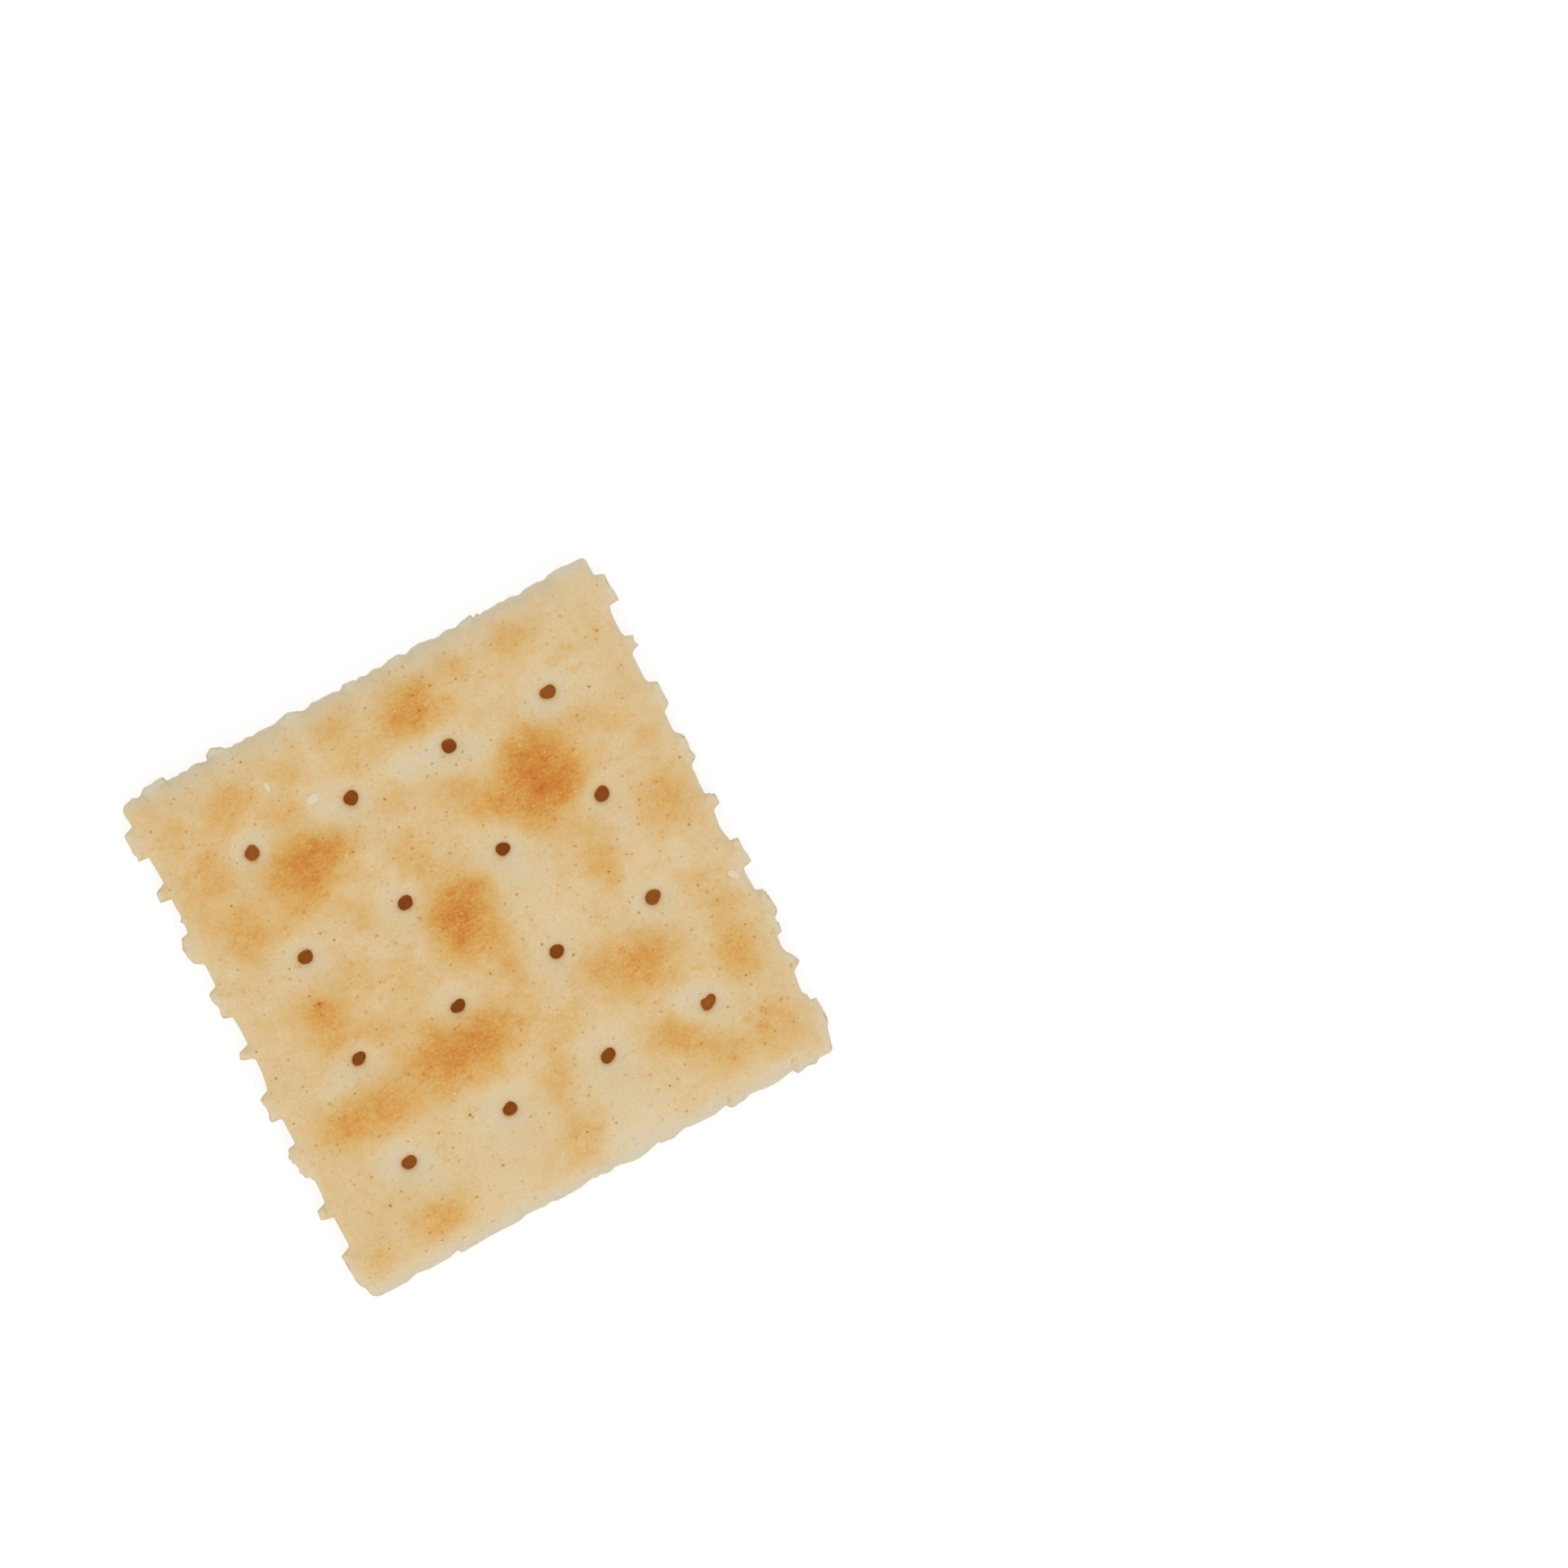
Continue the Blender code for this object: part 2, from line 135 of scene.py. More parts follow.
# Small knobs and nicks: (place, half width, how far out, torn share)
KNOBS = {
    "left": (
        (-25.55, 0.43, -0.37, 0.9), (-24.89, 0.69, -0.44, 0.9), (-15.71, 0.60, 0.07, 0), (-12.35, 0.29, 0.18, 1),
        (-12.06, 0.08, -0.06, 1), (-11.81, 0.19, 0.10, 1), (-11.38, 0.19, 0.26, 1), (-10.81, 0.40, 0.33, 1),
        (-6.85, 0.42, 0.29, 1), (-5.18, 0.31, 0.10, 1), (-3.72, 0.76, 0.10, 0), (-1.12, 0.21, 0.19, 1),
        (4.40, 0.42, -0.21, 1), (10.40, 1.22, 0.40, 1), (10.66, 0.25, 0.09, 1), (12.98, 0.20, 0.22, 1),
        (13.58, 0.50, -0.06, 0.2), (19.98, 0.33, -0.15, 1), (23.91, 0.42, 0.11, 0.2),
    ),
    "right": (
        (-22.12, 0.89, 0.10, 0.8), (-12.34, 0.33, -0.24, 1), (-9.36, 0.14, 0.25, 0), (-6.29, 0.70, 0.16, 1),
        (4.38, 0.42, 0.18, 1), (4.49, 0.95, -0.30, 1), (12.27, 0.29, 0.12, 0.2), (15.71, 0.17, 0.33, 1),
        (16.73, 0.35, 0.25, 1), (17.05, 0.38, 0.06, 0), (20.63, 1.00, 0.20, 1),
    ),
    "far": (
        (-22.55, 0.25, 0.22, 1), (-20.41, 0.37, -0.06, 1), (-18.41, 0.35, 0.04, 0.3), (-17.39, 0.34, 0.11, 0.3),
        (-16.03, 0.69, 0.25, 0.3), (-14.04, 0.44, 0.30, 1), (-12.69, 0.25, 0.19, 0.6), (-11.84, 0.45, 0.13, 0.2),
        (-10.71, 0.41, 0.15, 0.2), (-9.20, 0.76, 0.10, 0.1), (-6.35, 0.52, 0.19, 1), (-3.88, 0.29, 0.08, 0.2),
        (1.05, 0.38, 0.19, 0.2), (2.47, 0.50, 0.17, 0.2), (7.32, 0.40, 0.08, 0.2), (10.06, 0.63, 0.19, 0.3),
        (13.18, 0.21, 0.30, 1), (13.96, 0.37, 0.13, 0.3), (14.88, 0.51, 0.08, 0.2), (15.49, 0.28, 0.10, 0.2),
        (16.24, 0.34, 0.06, 0.2), (16.75, 0.42, 0.14, 0.2), (21.68, 0.78, 0.12, 1),
    ),
    "near": (
        (-22.36, 1.57, 0.04, 1), (-12.11, 1.60, -0.07, 1), (-1.19, 0.32, 0.11, 0.2), (2.99, 1.60, 0.40, 0.2),
        (5.14, 0.20, -0.10, 0.2), (6.08, 0.25, -0.06, 0.2), (6.43, 1.12, 0.35, 0.7), (13.03, 0.21, 0.05, 1),
        (17.07, 1.60, 0.27, 0.1), (20.62, 0.52, -0.18, 1),
    ),
}
CORNERS = {"near_left": 1.00, "near_right": 0.55, "far_right": 0.55, "far_left": 1.05}

# ---- tints of the rim: paler where the crust is less baked, with painted shade that greys and darkens the
# far and near sides and the sealed slots. (screen colour, strength, how far in it reaches) of
# a tooth, then of a sealed slot
RIM_TINTS_AND_SHADE = {
    "right": (((212, 206, 189), 0.95, 0.39), ((217, 199, 176), 0.70, 0.25)),
    "left": (((219, 206, 178), 0.95, 0.50), ((225, 201, 158), 0.75, 0.60)),
    "far": (((207, 204, 187), 1.00, 0.62), ((188, 178, 160), 0.66, 0.88)),
    "near": (((203, 198, 181), 0.90, 0.72), ((202, 196, 179), 0.88, 0.78)),
}

WALL_TINT = (218, 203, 168)          # the sides below the rim

# ---- blisters of the upper skin: place, length along X, along Y, rise -------
BLISTERS = (
    (11.6, 10.8, 4.2, 4.6, 0.62), (5.6, 20.6, 3.4, 3.4, 0.40), (-10.8, 12.2, 5.0, 3.6, 0.52),
    (-0.8, 2.2, 3.8, 4.2, 0.48), (-5.6, -9.2, 4.8, 3.2, 0.50), (-16.4, -9.6, 4.2, 2.8, 0.36),
    (11.2, -9.4, 4.6, 3.0, 0.38), (-16.8, 0.4, 2.6, 3.6, 0.26), (13.2, -17.4, 5.2, 3.2, 0.34),
    (20.6, -12.6, 2.8, 3.0, 0.26), (20.4, 2.4, 2.8, 3.2, 0.28), (-15.6, -21.0, 3.8, 2.8, 0.26),
    (-15.4, 20.2, 3.6, 2.6, 0.28), (0.8, -19.6, 3.2, 4.0, 0.20), (-20.4, 15.4, 2.6, 3.4, 0.18),
)

# ---- docking holes ----------------------------------------------------------
# place, radius, how far and where the edge bulges two-, three- and four-fold (mm,
# degrees), lean of the bore, painted shade of the inside (0 dark, 1 light)
HOLES = (
    (15.65, 15.76, .677, .099, 2, .038, 43, .005, 46, .00, .02, .54), (5.35, 15.67, .671, .010, 165, .012, 117, .010, 47, -.12, -.12, .14),
    (-4.80, 15.67, .686, .034, 33, .029, 41, .010, 79, .04, -.03, .17), (-15.15, 15.46, .687, .030, 51, .026, 64, .026, 68, .03, .02, .58),
    (15.63, 5.22, .702, .067, 36, .019, 61, .014, 64, .08, .08, .22), (5.27, 5.04, .636, .040, 175, .025, 5, .010, 75, .06, -.08, .05),
    (-4.91, 4.87, .676, .060, 22, .014, 52, .017, 36, .03, .03, .13), (-15.30, 4.79, .669, .058, 9, .029, 44, .014, 39, .00, -.14, .27),
    (15.32, -5.29, .705, .072, 24, .020, 13, .013, 8, .02, .04, .39), (5.23, -5.56, .660, .049, 19, .014, 5, .008, 18, -.03, .03, .11),
    (-5.07, -5.74, .635, .107, 13, .030, 52, .008, 18, -.08, .02, .18), (-15.36, -5.72, .629, .092, 22, .013, 18, .021, 21, .12, .05, .29),
    (15.28, -16.18, .673, .145, 23, .054, 23, .035, 42, .00, .04, 1.3), (4.91, -16.18, .674, .108, 27, .008, 31, .013, 46, .03, .02, .19),
    (-5.29, -16.26, .647, .057, 15, .028, 67, .014, 72, .00, .12, .24), (-15.72, -16.25, .654, .085, 8, .012, 37, .008, 64, -.02, .03, .43),
)

# ---- browned spots: place, half length, half width, turn, strength ----------
SPOTS = (
    (11.8, 8.3, 4.0, 3.7, 35, 0.47), (11.6, 12.6, 2.9, 2.2, 0, 0.29), (8.9, 8.8, 2.1, 2.8, 0, 0.13),
    (13.2, 7.5, 2.0, 2.1, 0, 0.16), (5.2, 10.0, 3.2, 1.8, -50, 0.31), (-11.7, 12.3, 3.6, 2.5, -10, 0.55),
    (-7.6, 12.7, 1.8, 1.5, 0, 0.22), (-13.0, 8.9, 2.7, 1.6, 15, 0.17), (-0.9, 2.2, 3.3, 2.5, 10, 0.61),
    (-1.7, -1.6, 2.5, 1.7, 0, 0.30), (1.4, -1.9, 1.3, 1.8, 0, 0.23), (-6.0, -9.2, 4.0, 2.8, 0, 0.43),
    (-9.4, -10.3, 1.9, 2.3, 0, 0.15), (-3.5, -9.3, 3.5, 2.1, 0, 0.18), (-8.5, -6.6, 1.6, 1.2, 70, 0.09),
    (-16.4, -10.8, 4.5, 2.3, 0, 0.41), (-6.1, -12.7, 3.7, 0.9, -5, 0.14), (-11.7, -7.5, 2.0, 1.2, 0, 0.14),
    (3.7, 19.9, 2.9, 2.5, 0, 0.48), (-15.2, 20.1, 2.4, 1.7, 20, 0.30), (-19.3, 15.3, 2.4, 1.7, 60, 0.29),
    (-18.8, 9.1, 2.0, 2.3, 0, 0.29), (-15.5, 8.2, 2.5, 1.2, 0, 0.07), (-10.9, 17.5, 1.8, 1.5, 10, 0.20),
    (-9.2, 20.8, 1.0, 1.9, 50, 0.19), (-3.3, 21.9, 2.0, 1.2, 10, 0.24), (-3.0, 18.5, 2.3, 1.7, 0, 0.16),
    (9.2, 21.8, 1.8, 1.1, -40, 0.25), (14.8, 21.8, 2.1, 1.5, 0, 0.25), (-2.5, 7.8, 1.6, 2.2, 0, 0.28),
    (-9.3, 6.0, 2.1, 1.0, -45, 0.19), (-16.5, -1.0, 2.3, 2.8, 5, 0.36), (-15.5, -3.8, 1.4, 1.1, 0, 0.17),
    (-12.4, -4.4, 2.5, 1.5, 0, 0.24), (-12.0, 1.3, 1.8, 2.0, 0, 0.16), (-8.1, -1.6, 1.7, 2.3, 0, 0.13),
    (1.2, -5.4, 1.7, 1.9, 0, 0.22), (11.5, -10.0, 3.4, 2.6, 0, 0.41), (7.1, -8.1, 1.7, 2.2, 0, 0.20),
    (-0.0, -15.4, 1.5, 2.9, -35, 0.24), (2.9, -11.8, 1.7, 1.3, 5, 0.17), (-0.5, -21.5, 1.7, 2.5, -45, 0.28),
    (-15.4, -22.3, 2.7, 1.6, 5, 0.36), (-22.4, -22.6, 1.7, 1.4, 0, 0.19), (10.7, -17.2, 1.8, 1.9, -30, 0.32),
    (13.0, -18.9, 1.7, 2.2, -50, 0.22), (15.0, -21.3, 2.0, 1.6, 0, 0.24), (19.8, -21.3, 2.2, 2.6, 0, 0.24),
    (19.9, -13.0, 1.9, 2.4, 0, 0.33), (20.6, -8.7, 1.6, 1.6, 0, 0.16), (19.6, -5.5, 1.7, 0.9, 5, 0.14),
    (20.5, 2.1, 2.3, 2.7, 5, 0.28), (12.8, -0.6, 1.7, 2.2, 0, 0.27), (12.6, 3.7, 1.2, 1.6, 0, 0.04),
    (18.4, 12.0, 2.6, 1.1, -30, 0.15), (21.9, 8.0, 1.2, 0.9, 0, 0.19), (-20.9, 20.0, 1.8, 1.2, 65, 0.16),
    (-1.8, 13.8, 2.1, 1.2, 0, 0.19), (18.1, 18.2, 1.4, 0.8, 10, 0.17), (-22.3, 13.4, 1.2, 3.6, 0, 0.13),
    (-23.7, 23.5, 2.5, 0.8, 0, 0.19), (9.3, -23.7, 1.3, 1.1, 5, 0.16), (-0.2, -24.4, 1.2, 1.6, 25, 0.16),
    (23.0, -24.6, 1.1, 2.6, 0, 0.12), (-2.6, 23.5, 1.0, 0.8, 0, 0.12),
    (5.2, 21.8, 1.2, 0.9, 0, 0.12), (16.1, -2.6, 0.9, 0.8, 0, 0.09), (11.2, 8.4, 1.8, 0.8, 0, 0.11), (19.8, -19.1, 0.5, 0.5, 0, 0.04),
)
# paler places
PALE = (
    (-7.4, 16.4, 1.7, 0.9, -60, 0.21), (1.9, 16.0, 2.8, 1.4, 0, 0.29), (8.3, 14.7, 2.5, 1.0, 10, 0.09),
    (17.1, 17.4, 1.9, 1.8, 0, 0.09), (5.8, 2.5, 2.2, 3.0, 0, 0.15), (-8.3, 2.1, 1.6, 0.9, 0, 0.10),
    (6.1, -3.8, 3.0, 3.4, 0, 0.07), (4.6, -22.0, 3.5, 3.4, 0, 0.21), (-8.0, -17.0, 2.6, 3.3, 0, 0.13),
    (-9.5, -21.2, 3.5, 2.4, 0, 0.06), (-17.4, -15.1, 2.2, 1.6, 0, 0.15), (4.3, -14.1, 3.2, 1.1, 0, 0.10),
    (-14.5, -17.7, 1.6, 2.3, 0, 0.09), (-18.3, -7.0, 2.0, 1.2, 0, 0.19), (13.2, -14.9, 1.9, 1.1, -30, 0.20),
    (16.1, 0.0, 1.2, 2.2, 0, 0.11), (23.6, -7.3, 0.8, 1.0, 0, 0.17), (17.0, -8.0, 1.4, 2.9, 0, 0.05),
    (-17.8, 3.6, 3.1, 2.3, 0, 0.05), (-2.4, -18.8, 2.5, 1.9, 0, 0.04), (19.5, -2.7, 1.7, 1.2, 0, 0.12),
    (14.1, 14.5, 1.3, 1.5, 0, 0.19), (13.8, 5.4, 1.7, 0.9, 5, 0.25), (7.5, 13.3, 1.1, 1.2, 0, 0.19),
    (-2.9, -13.5, 1.5, 1.3, 0, 0.11), (13.8, -6.0, 0.7, 1.8, 0, 0.16), (-5.4, 1.3, 0.7, 1.8, -15, 0.14),
    (19.6, 15.1, 0.7, 1.9, 5, 0.14), (-14.8, 15.7, 1.9, 1.0, -15, 0.14), (-20.2, -2.3, 1.3, 1.3, 0, 0.08), (18.7, -19.1, 0.5, 0.3, -30, 0.12),
)
# burnt specks: place, radius, strength; brown ones, then orange ones
BROWN_SPECKS = (
    (-8.79, -15.04, .15, .85), (-19.11, -18.97, .15, .60), (22.22, 18.64, .12, .75), (-13.10, 6.03, .13, .62), (-1.08, -4.50, .13, .60),
    (-19.40, -15.85, .12, .55), (-4.42, 3.06, .11, .62), (-6.94, 11.22, .11, .60), (17.62, -13.93, .11, .50), (-3.97, -17.78, .13, .42),
    (20.43, -8.29, .11, .52), (-17.03, -22.83, .11, .48), (18.36, 3.14, .11, .48), (17.32, 1.21, .13, .38), (2.11, -17.93, .12, .42),
    (-7.38, 1.95, .10, .50), (-1.15, -13.04, .10, .45), (10.79, 5.21, .10, .48), (5.15, -4.06, .10, .50), (19.92, -7.25, .09, .60),
    (-5.31, 13.00, .10, .40), (2.04, -14.96, .10, .45), (-17.25, -19.19, .10, .40), (9.53, -21.05, .10, .42), (17.91, -1.91, .11, .34),
    (19.54, 16.79, .10, .38), (-5.75, 16.27, .08, .60), (-15.69, 7.96, .10, .45), (-9.54, -13.18, .10, .42), (-10.35, -5.02, .10, .42),
    (19.20, -19.20, .09, .50), (18.90, -20.60, .09, .42),
)
ORANGE_SPECKS = (
    (-16.21, .39, .17, .80), (-9.54, 13.60, .12, .55), (12.94, -19.19, .12, .50), (14.13, .39, .11, .45), (19.69, 1.95, .12, .42),
    (20.58, 3.88, .12, .42), (15.02, -21.79, .10, .45), (-12.87, 19.98, .11, .42), (-.78, -9.85, .10, .42), (-18.96, -9.77, .10, .42),
    (-9.91, -7.47, .11, .38), (10.94, 8.03, .10, .45), (11.38, 11.67, .12, .40), (10.57, -8.14, .10, .40), (5.15, 21.24, .10, .40),
    (-21.85, 4.62, .11, .34), (22.36, 14.64, .10, .34), (21.30, -19.03, .13, .60), (19.45, -19.53, .13, .40), (18.57, -20.32, .14, .42),
    (19.38, -18.85, .10, .32),
)
# salt: place, half length, half width, turn, how glassy (glassy grains show the skin)
SALT = (
    (-7.93, 17.21, .68, .46, 8, .1), (22.83, -6.93, .60, .33, -50, .35), (-11.09, 20.14, .21, .46, 0, .75), (19.25, -24.4, .15, .12, 0, .3),
    (-3.90, 11.15, .11, .08, 0, .6), (-2.56, 7.66, .08, .06, 30, .6), (-1.60, 0.84, .07, .05, 0, .6), (11.10, 12.71, .05, .12, -25, .5),
    (12.82, 11.07, .06, .08, 0, .7), (5.52, 0.91, .08, .06, 15, .6), (-7.61, 11.22, .15, .09, 60, .6), (-9.09, -12.66, .11, .09, 20, .6), (5.23, 19.98, .07, .05, 0, .6),
)


# ============================ small helpers =================================
def smooth(t):
    t = np.clip(t, 0.0, 1.0)
    return t * t * (3.0 - 2.0 * t)


def lottery(ix, iy, seed):
    h = (ix.astype(np.int64) * 374761393 + iy.astype(np.int64) * 668265263 + seed * 1442695041) & 0xFFFFFFFF
    h = ((h ^ (h >> 13)) * 1274126177) & 0xFFFFFFFF
    h = ((h ^ (h >> 16)) * 2246822519) & 0xFFFFFFFF
    return ((h ^ (h >> 15)) & 0xFFFFFF) / float(0xFFFFFF)


def wave(x, y, seed=0):
    """Gradient noise of unit wavelength, about -1 to 1."""
    x, y = np.asarray(x, float), np.asarray(y, float)
    ix, iy = np.floor(x), np.floor(y)
    fx, fy = x - ix, y - iy
    ux = fx * fx * fx * (fx * (fx * 6 - 15) + 10)
    uy = fy * fy * fy * (fy * (fy * 6 - 15) + 10)

    def corner(cx, cy):
        a = lottery(ix + cx, iy + cy, seed) * 2 * np.pi
        return np.cos(a) * (fx - cx) + np.sin(a) * (fy - cy)

    low = corner(0, 0) * (1 - ux) + corner(1, 0) * ux
    high = corner(0, 1) * (1 - ux) + corner(1, 1) * ux
    return (low * (1 - uy) + high * uy) * 1.6


def waves(x, y, seed=0, octaves=3, gain=0.5):
    total, amp, f = 0.0, 1.0, 1.0
    for k in range(octaves):
        total = total + amp * wave(x * f + 17.3 * k, y * f - 9.1 * k, seed + 101 * k)
        amp *= gain
        f *= 2.03
    return total


def spot(x, y, row, power):
    bx, by, lx, ly, turn, rise = row
    c, s = math.cos(math.radians(turn)), math.sin(math.radians(turn))
    u, v = (x - bx) * c + (y - by) * s, -(x - bx) * s + (y - by) * c
    return rise * np.exp(-0.69 * ((u / lx) ** 2 + (v / ly) ** 2) ** power)


# ============================ outline =======================================
def line_at(s, rows):
    out = np.full_like(s, rows[0][1])
    for (s0, y0), (s1, y1) in zip(rows[:-1], rows[1:]):
        out = np.where(s > s0, y0 + (y1 - y0) * smooth((s - s0) / (s1 - s0)), out)
    return out


def side_at(s, side):
    """How far out a side reaches at the places s, and how torn it is there."""
    bump, torn = np.zeros_like(s), np.zeros_like(s)
    for a, b, out_a, out_b, slope_a, slope_b, share in LOBES[side]:
        t = np.clip((s - a) / (b - a), 0, 1)
        shape = smooth((s - a) / slope_a + 0.5) * smooth((b - s) / slope_b + 0.5)
        bump = np.maximum(bump, (out_a + (out_b - out_a) * t) * shape)
        torn = np.maximum(torn, share * smooth(shape * 1.6 - 0.3))
    for place, half, out, share in KNOBS[side]:
        shape = np.exp(-1.1 * np.abs((s - place) / half) ** 2.6)
        bump = bump + out * shape
        torn = np.maximum(torn, share * shape * (1.0 if out > 0 else 0.0))
    seed = {"left": 1, "right": 2, "far": 3, "near": 4}[side]
    rough = 0.006 * wave(s / 1.3, s * 0, seed) + (0.005 + 0.015 * torn) * waves(s / 0.38, s * 0 + 3.0, seed + 10, 2)
    return line_at(s, LINES[side]) + bump + rough, torn


def make_outline():
    """The outline seen from above, counter-clockwise, with even spacing."""
    c = CORNERS
    ends = {
        "near": (-24.47 + c["near_left"], 23.35 - c["near_right"]), "right": (-25.35 + c["near_right"], 25.15 - c["far_right"]),
        "far": (24.32 - c["far_right"], -23.85 + c["far_left"]), "left": (24.98 - c["far_left"], -25.81 + c["near_left"]),
    }
    runs = []
    for side in ("near", "right", "far", "left"):
        a, b = ends[side]
        s = np.linspace(a, b, int(abs(b - a) / 0.01))
        out, torn = side_at(s, side)
        if side == "right":   # this corner is broken on a slant
            out = out - 0.22 * smooth((-22.65 - s) / 0.7) - 0.24 * np.clip(-23.2 - s, 0, None)
        if side == "near":
            xy = np.stack([s, -out], 1)
        elif side == "right":
            xy = np.stack([out, s], 1)
        elif side == "far":
            xy = np.stack([s, out], 1)
        else:
            xy = np.stack([-out, s], 1)
        runs.append((xy, torn))
    pts, torn = [], []
    for k, (xy, tn) in enumerate(runs):
        pts.append(xy)
        torn.append(tn)
        a, b = xy[-1], runs[(k + 1) % 4][0][0]
        corner = np.array([b[0], a[1]]) if k % 2 == 0 else np.array([a[0], b[1]])
        t = np.linspace(0, 1, 60)[1:-1, None]
        pts.append(a * (1 - t) ** 2 + corner * 2 * t * (1 - t) + b * t ** 2)
        torn.append(np.interp(t[:, 0], [0, 1], [tn[-1], runs[(k + 1) % 4][1][0]]))
    pts, torn = np.concatenate(pts), np.concatenate(torn)
    step = np.linalg.norm(np.roll(pts, -1, 0) - pts, axis=1)
    along = np.concatenate([[0.0], np.cumsum(step)])
    places = np.arange(AROUND) * along[-1] / AROUND
    closed = np.concatenate([pts, pts[:1]])
    loop = np.stack([np.interp(places, along, closed[:, i]) for i in (0, 1)], 1)
    torn = np.interp(places, along, np.concatenate([torn, torn[:1]]))
    for _ in range(3):
        torn = 0.25 * np.roll(torn, 1) + 0.5 * torn + 0.25 * np.roll(torn, -1)
    return loop, torn, along[-1]


def inward_loops(loop, torn):
    """Loops one inside the other, OFFSET_STEP apart, that smooth out as they go in."""
    loops, p = [loop], loop.copy()
    worn = torn[:, None]
    for _ in range(4):
        worn = 0.25 * np.roll(worn, 1, 0) + 0.5 * worn + 0.25 * np.roll(worn, -1, 0)
    for step in range(OFFSETS - 1):
        t = np.roll(p, -1, 0) - np.roll(p, 1, 0)
        n = np.stack([-t[:, 1], t[:, 0]], 1)
        n /= np.linalg.norm(n, axis=1)[:, None]
        for _ in range(3):
            n = 0.25 * np.roll(n, 1, 0) + 0.5 * n + 0.25 * np.roll(n, -1, 0)
        n /= np.linalg.norm(n, axis=1)[:, None]
        p = p + n * OFFSET_STEP
        for k in range(6 if step < 7 else 30):
            even = 0.25 * np.roll(p, 1, 0) + 0.5 * p + 0.25 * np.roll(p, -1, 0)
            p = even if k < 2 or step > 6 else p + (even - p) * worn
        loops.append(p.copy())
    return np.array(loops)


def at_inset(loops, inset):
    """The point of each column of the loops that lies inset in from the outline."""
    f = np.clip(inset / OFFSET_STEP, 0, OFFSETS - 1.001)
    k = f.astype(int)
    w = (f - k)[:, None]
    i = np.arange(len(inset))
    return loops[k, i] * (1 - w) + loops[k + 1, i] * w


# ============================ colours =======================================
LIGHT = 1.018            # how brightly a flat white place is lit


def paint(r, g, b):
    """The surface colour that shows as this screen colour in the scene's light."""
    out = []
    for c in (r, g, b):
        c = c / 255.0
        lin = c / 12.92 if c <= 0.04045 else ((c + 0.055) / 1.055) ** 2.4
        out.append(min(lin / LIGHT, 0.98))
    return (*out, 1.0)


def rim_tint_and_shade(x, y, edge, torn):
    """The tint behind the cut edge, paler crust with painted shade on the far and near sides and in the slots, and how
    much of it shows.
    """
    gaps = np.stack([line_at(y, LINES["right"]) - x, line_at(y, LINES["left"]) + x, line_at(x, LINES["far"]) - y, line_at(x, LINES["near"]) + y])
    near_by = np.exp(-(gaps - gaps.min(0)) / 0.6)
    near_by = near_by / near_by.sum(0)
    colour, total = np.zeros((len(x), 3)), np.zeros(len(x))
    for weight, rows in zip(near_by, RIM_TINTS_AND_SHADE.values()):
        for (screen, strength, reach), part in zip(rows, (torn, 1.0 - torn)):
            share = weight * part * strength * np.exp(-edge / reach)
            colour = colour + share[:, None] * np.array(paint(*screen)[:3])
            total = total + share
    return colour / np.maximum(total, 1e-9)[:, None], total


# ============================ browning ======================================
def browning(x, y):
    """How browned the upper skin is: 0 pale, 1 deep brown."""
    wx = x + 0.24 * wave(x / 3.1, y / 3.1, 5) + 0.20 * wave(x / 1.2, y / 1.2, 6)
    wy = y + 0.24 * wave(x / 3.1, y / 3.1, 7) + 0.20 * wave(x / 1.2, y / 1.2, 8)
    b = 0.256 + 0.025 * wave(x / 4.2, y / 4.2, 11) + 0.030 * wave(x / 1.7, y / 1.7, 12)
    b = b + 0.03 * np.clip((-x - 14) / 8, 0, 1)
    for row in PALE:
        b = b - spot(wx, wy, row, 1.1)
    for row in SPOTS:
        b = b + spot(wx, wy, row, 1.35)
    for h in HOLES:
        r2 = (x - h[0]) ** 2 + (y - h[1]) ** 2
        b = b - 0.33 * np.exp(-r2 / 2.15 ** 2)
    for row in BROWN_SPECKS + ORANGE_SPECKS:      # their halos
        b = b + 0.30 * row[3] * np.exp(-((x - row[0]) ** 2 + (y - row[1]) ** 2) / (0.07 + row[2]) ** 2 / 4.0)
    # the rim stays pale, mostly along the far and near sides
    far, near = line_at(x, LINES["far"]) - y, line_at(x, LINES["near"]) + y
    side = np.minimum(line_at(y, LINES["right"]) - x, line_at(y, LINES["left"]) + x)
    b = b - 0.31 * np.exp(-np.clip(far, 0, None) / 1.4) - 0.26 * np.exp(-np.clip(near, 0, None) / 1.35)
    return b - 0.13 * np.exp(-np.clip(side, 0, None) / 0.9)


def line_distance(x, y):
    """Distance in from the cut lines, corners rounded."""
    gaps = np.stack([
        line_at(y, LINES["right"]) - x, line_at(y, LINES["left"]) + x,
        line_at(x, LINES["far"]) - y, line_at(x, LINES["near"]) + y,
    ])
    soft = 0.55
    lowest = gaps.min(0)
    return lowest - soft * np.log(np.exp(-(gaps - lowest) / soft).sum(0))


def under_browning(x, y):
    """The underside is browned more evenly, palest round the marks of the pins."""
    b = 0.50 + 0.17 * waves(x / 9.0, y / 9.0, 91, 3, 0.45) + 0.05 * wave(x / 1.9, y / 1.9, 92)
    for h in HOLES:
        b = b - 0.12 * np.exp(-((x - h[0]) ** 2 + (y - h[1]) ** 2) / 1.7 ** 2)
    inset = np.clip(line_distance(x, y), 0, None)
    return b - 0.16 * np.exp(-inset / 1.2)


# ============================ heights =======================================
def hole_fringe_and_shade(xy):
    """The brown fringe round the docking holes, partly painted shade of the dimples they sit in."""
    gap = np.min([np.hypot(xy[:, 0] - h[0] + 0.04, xy[:, 1] - h[1] + 0.045) - h[2] for h in HOLES], 0)
    return 0.045 * np.exp(-np.clip(gap - 0.62, 0, None) / 0.28)


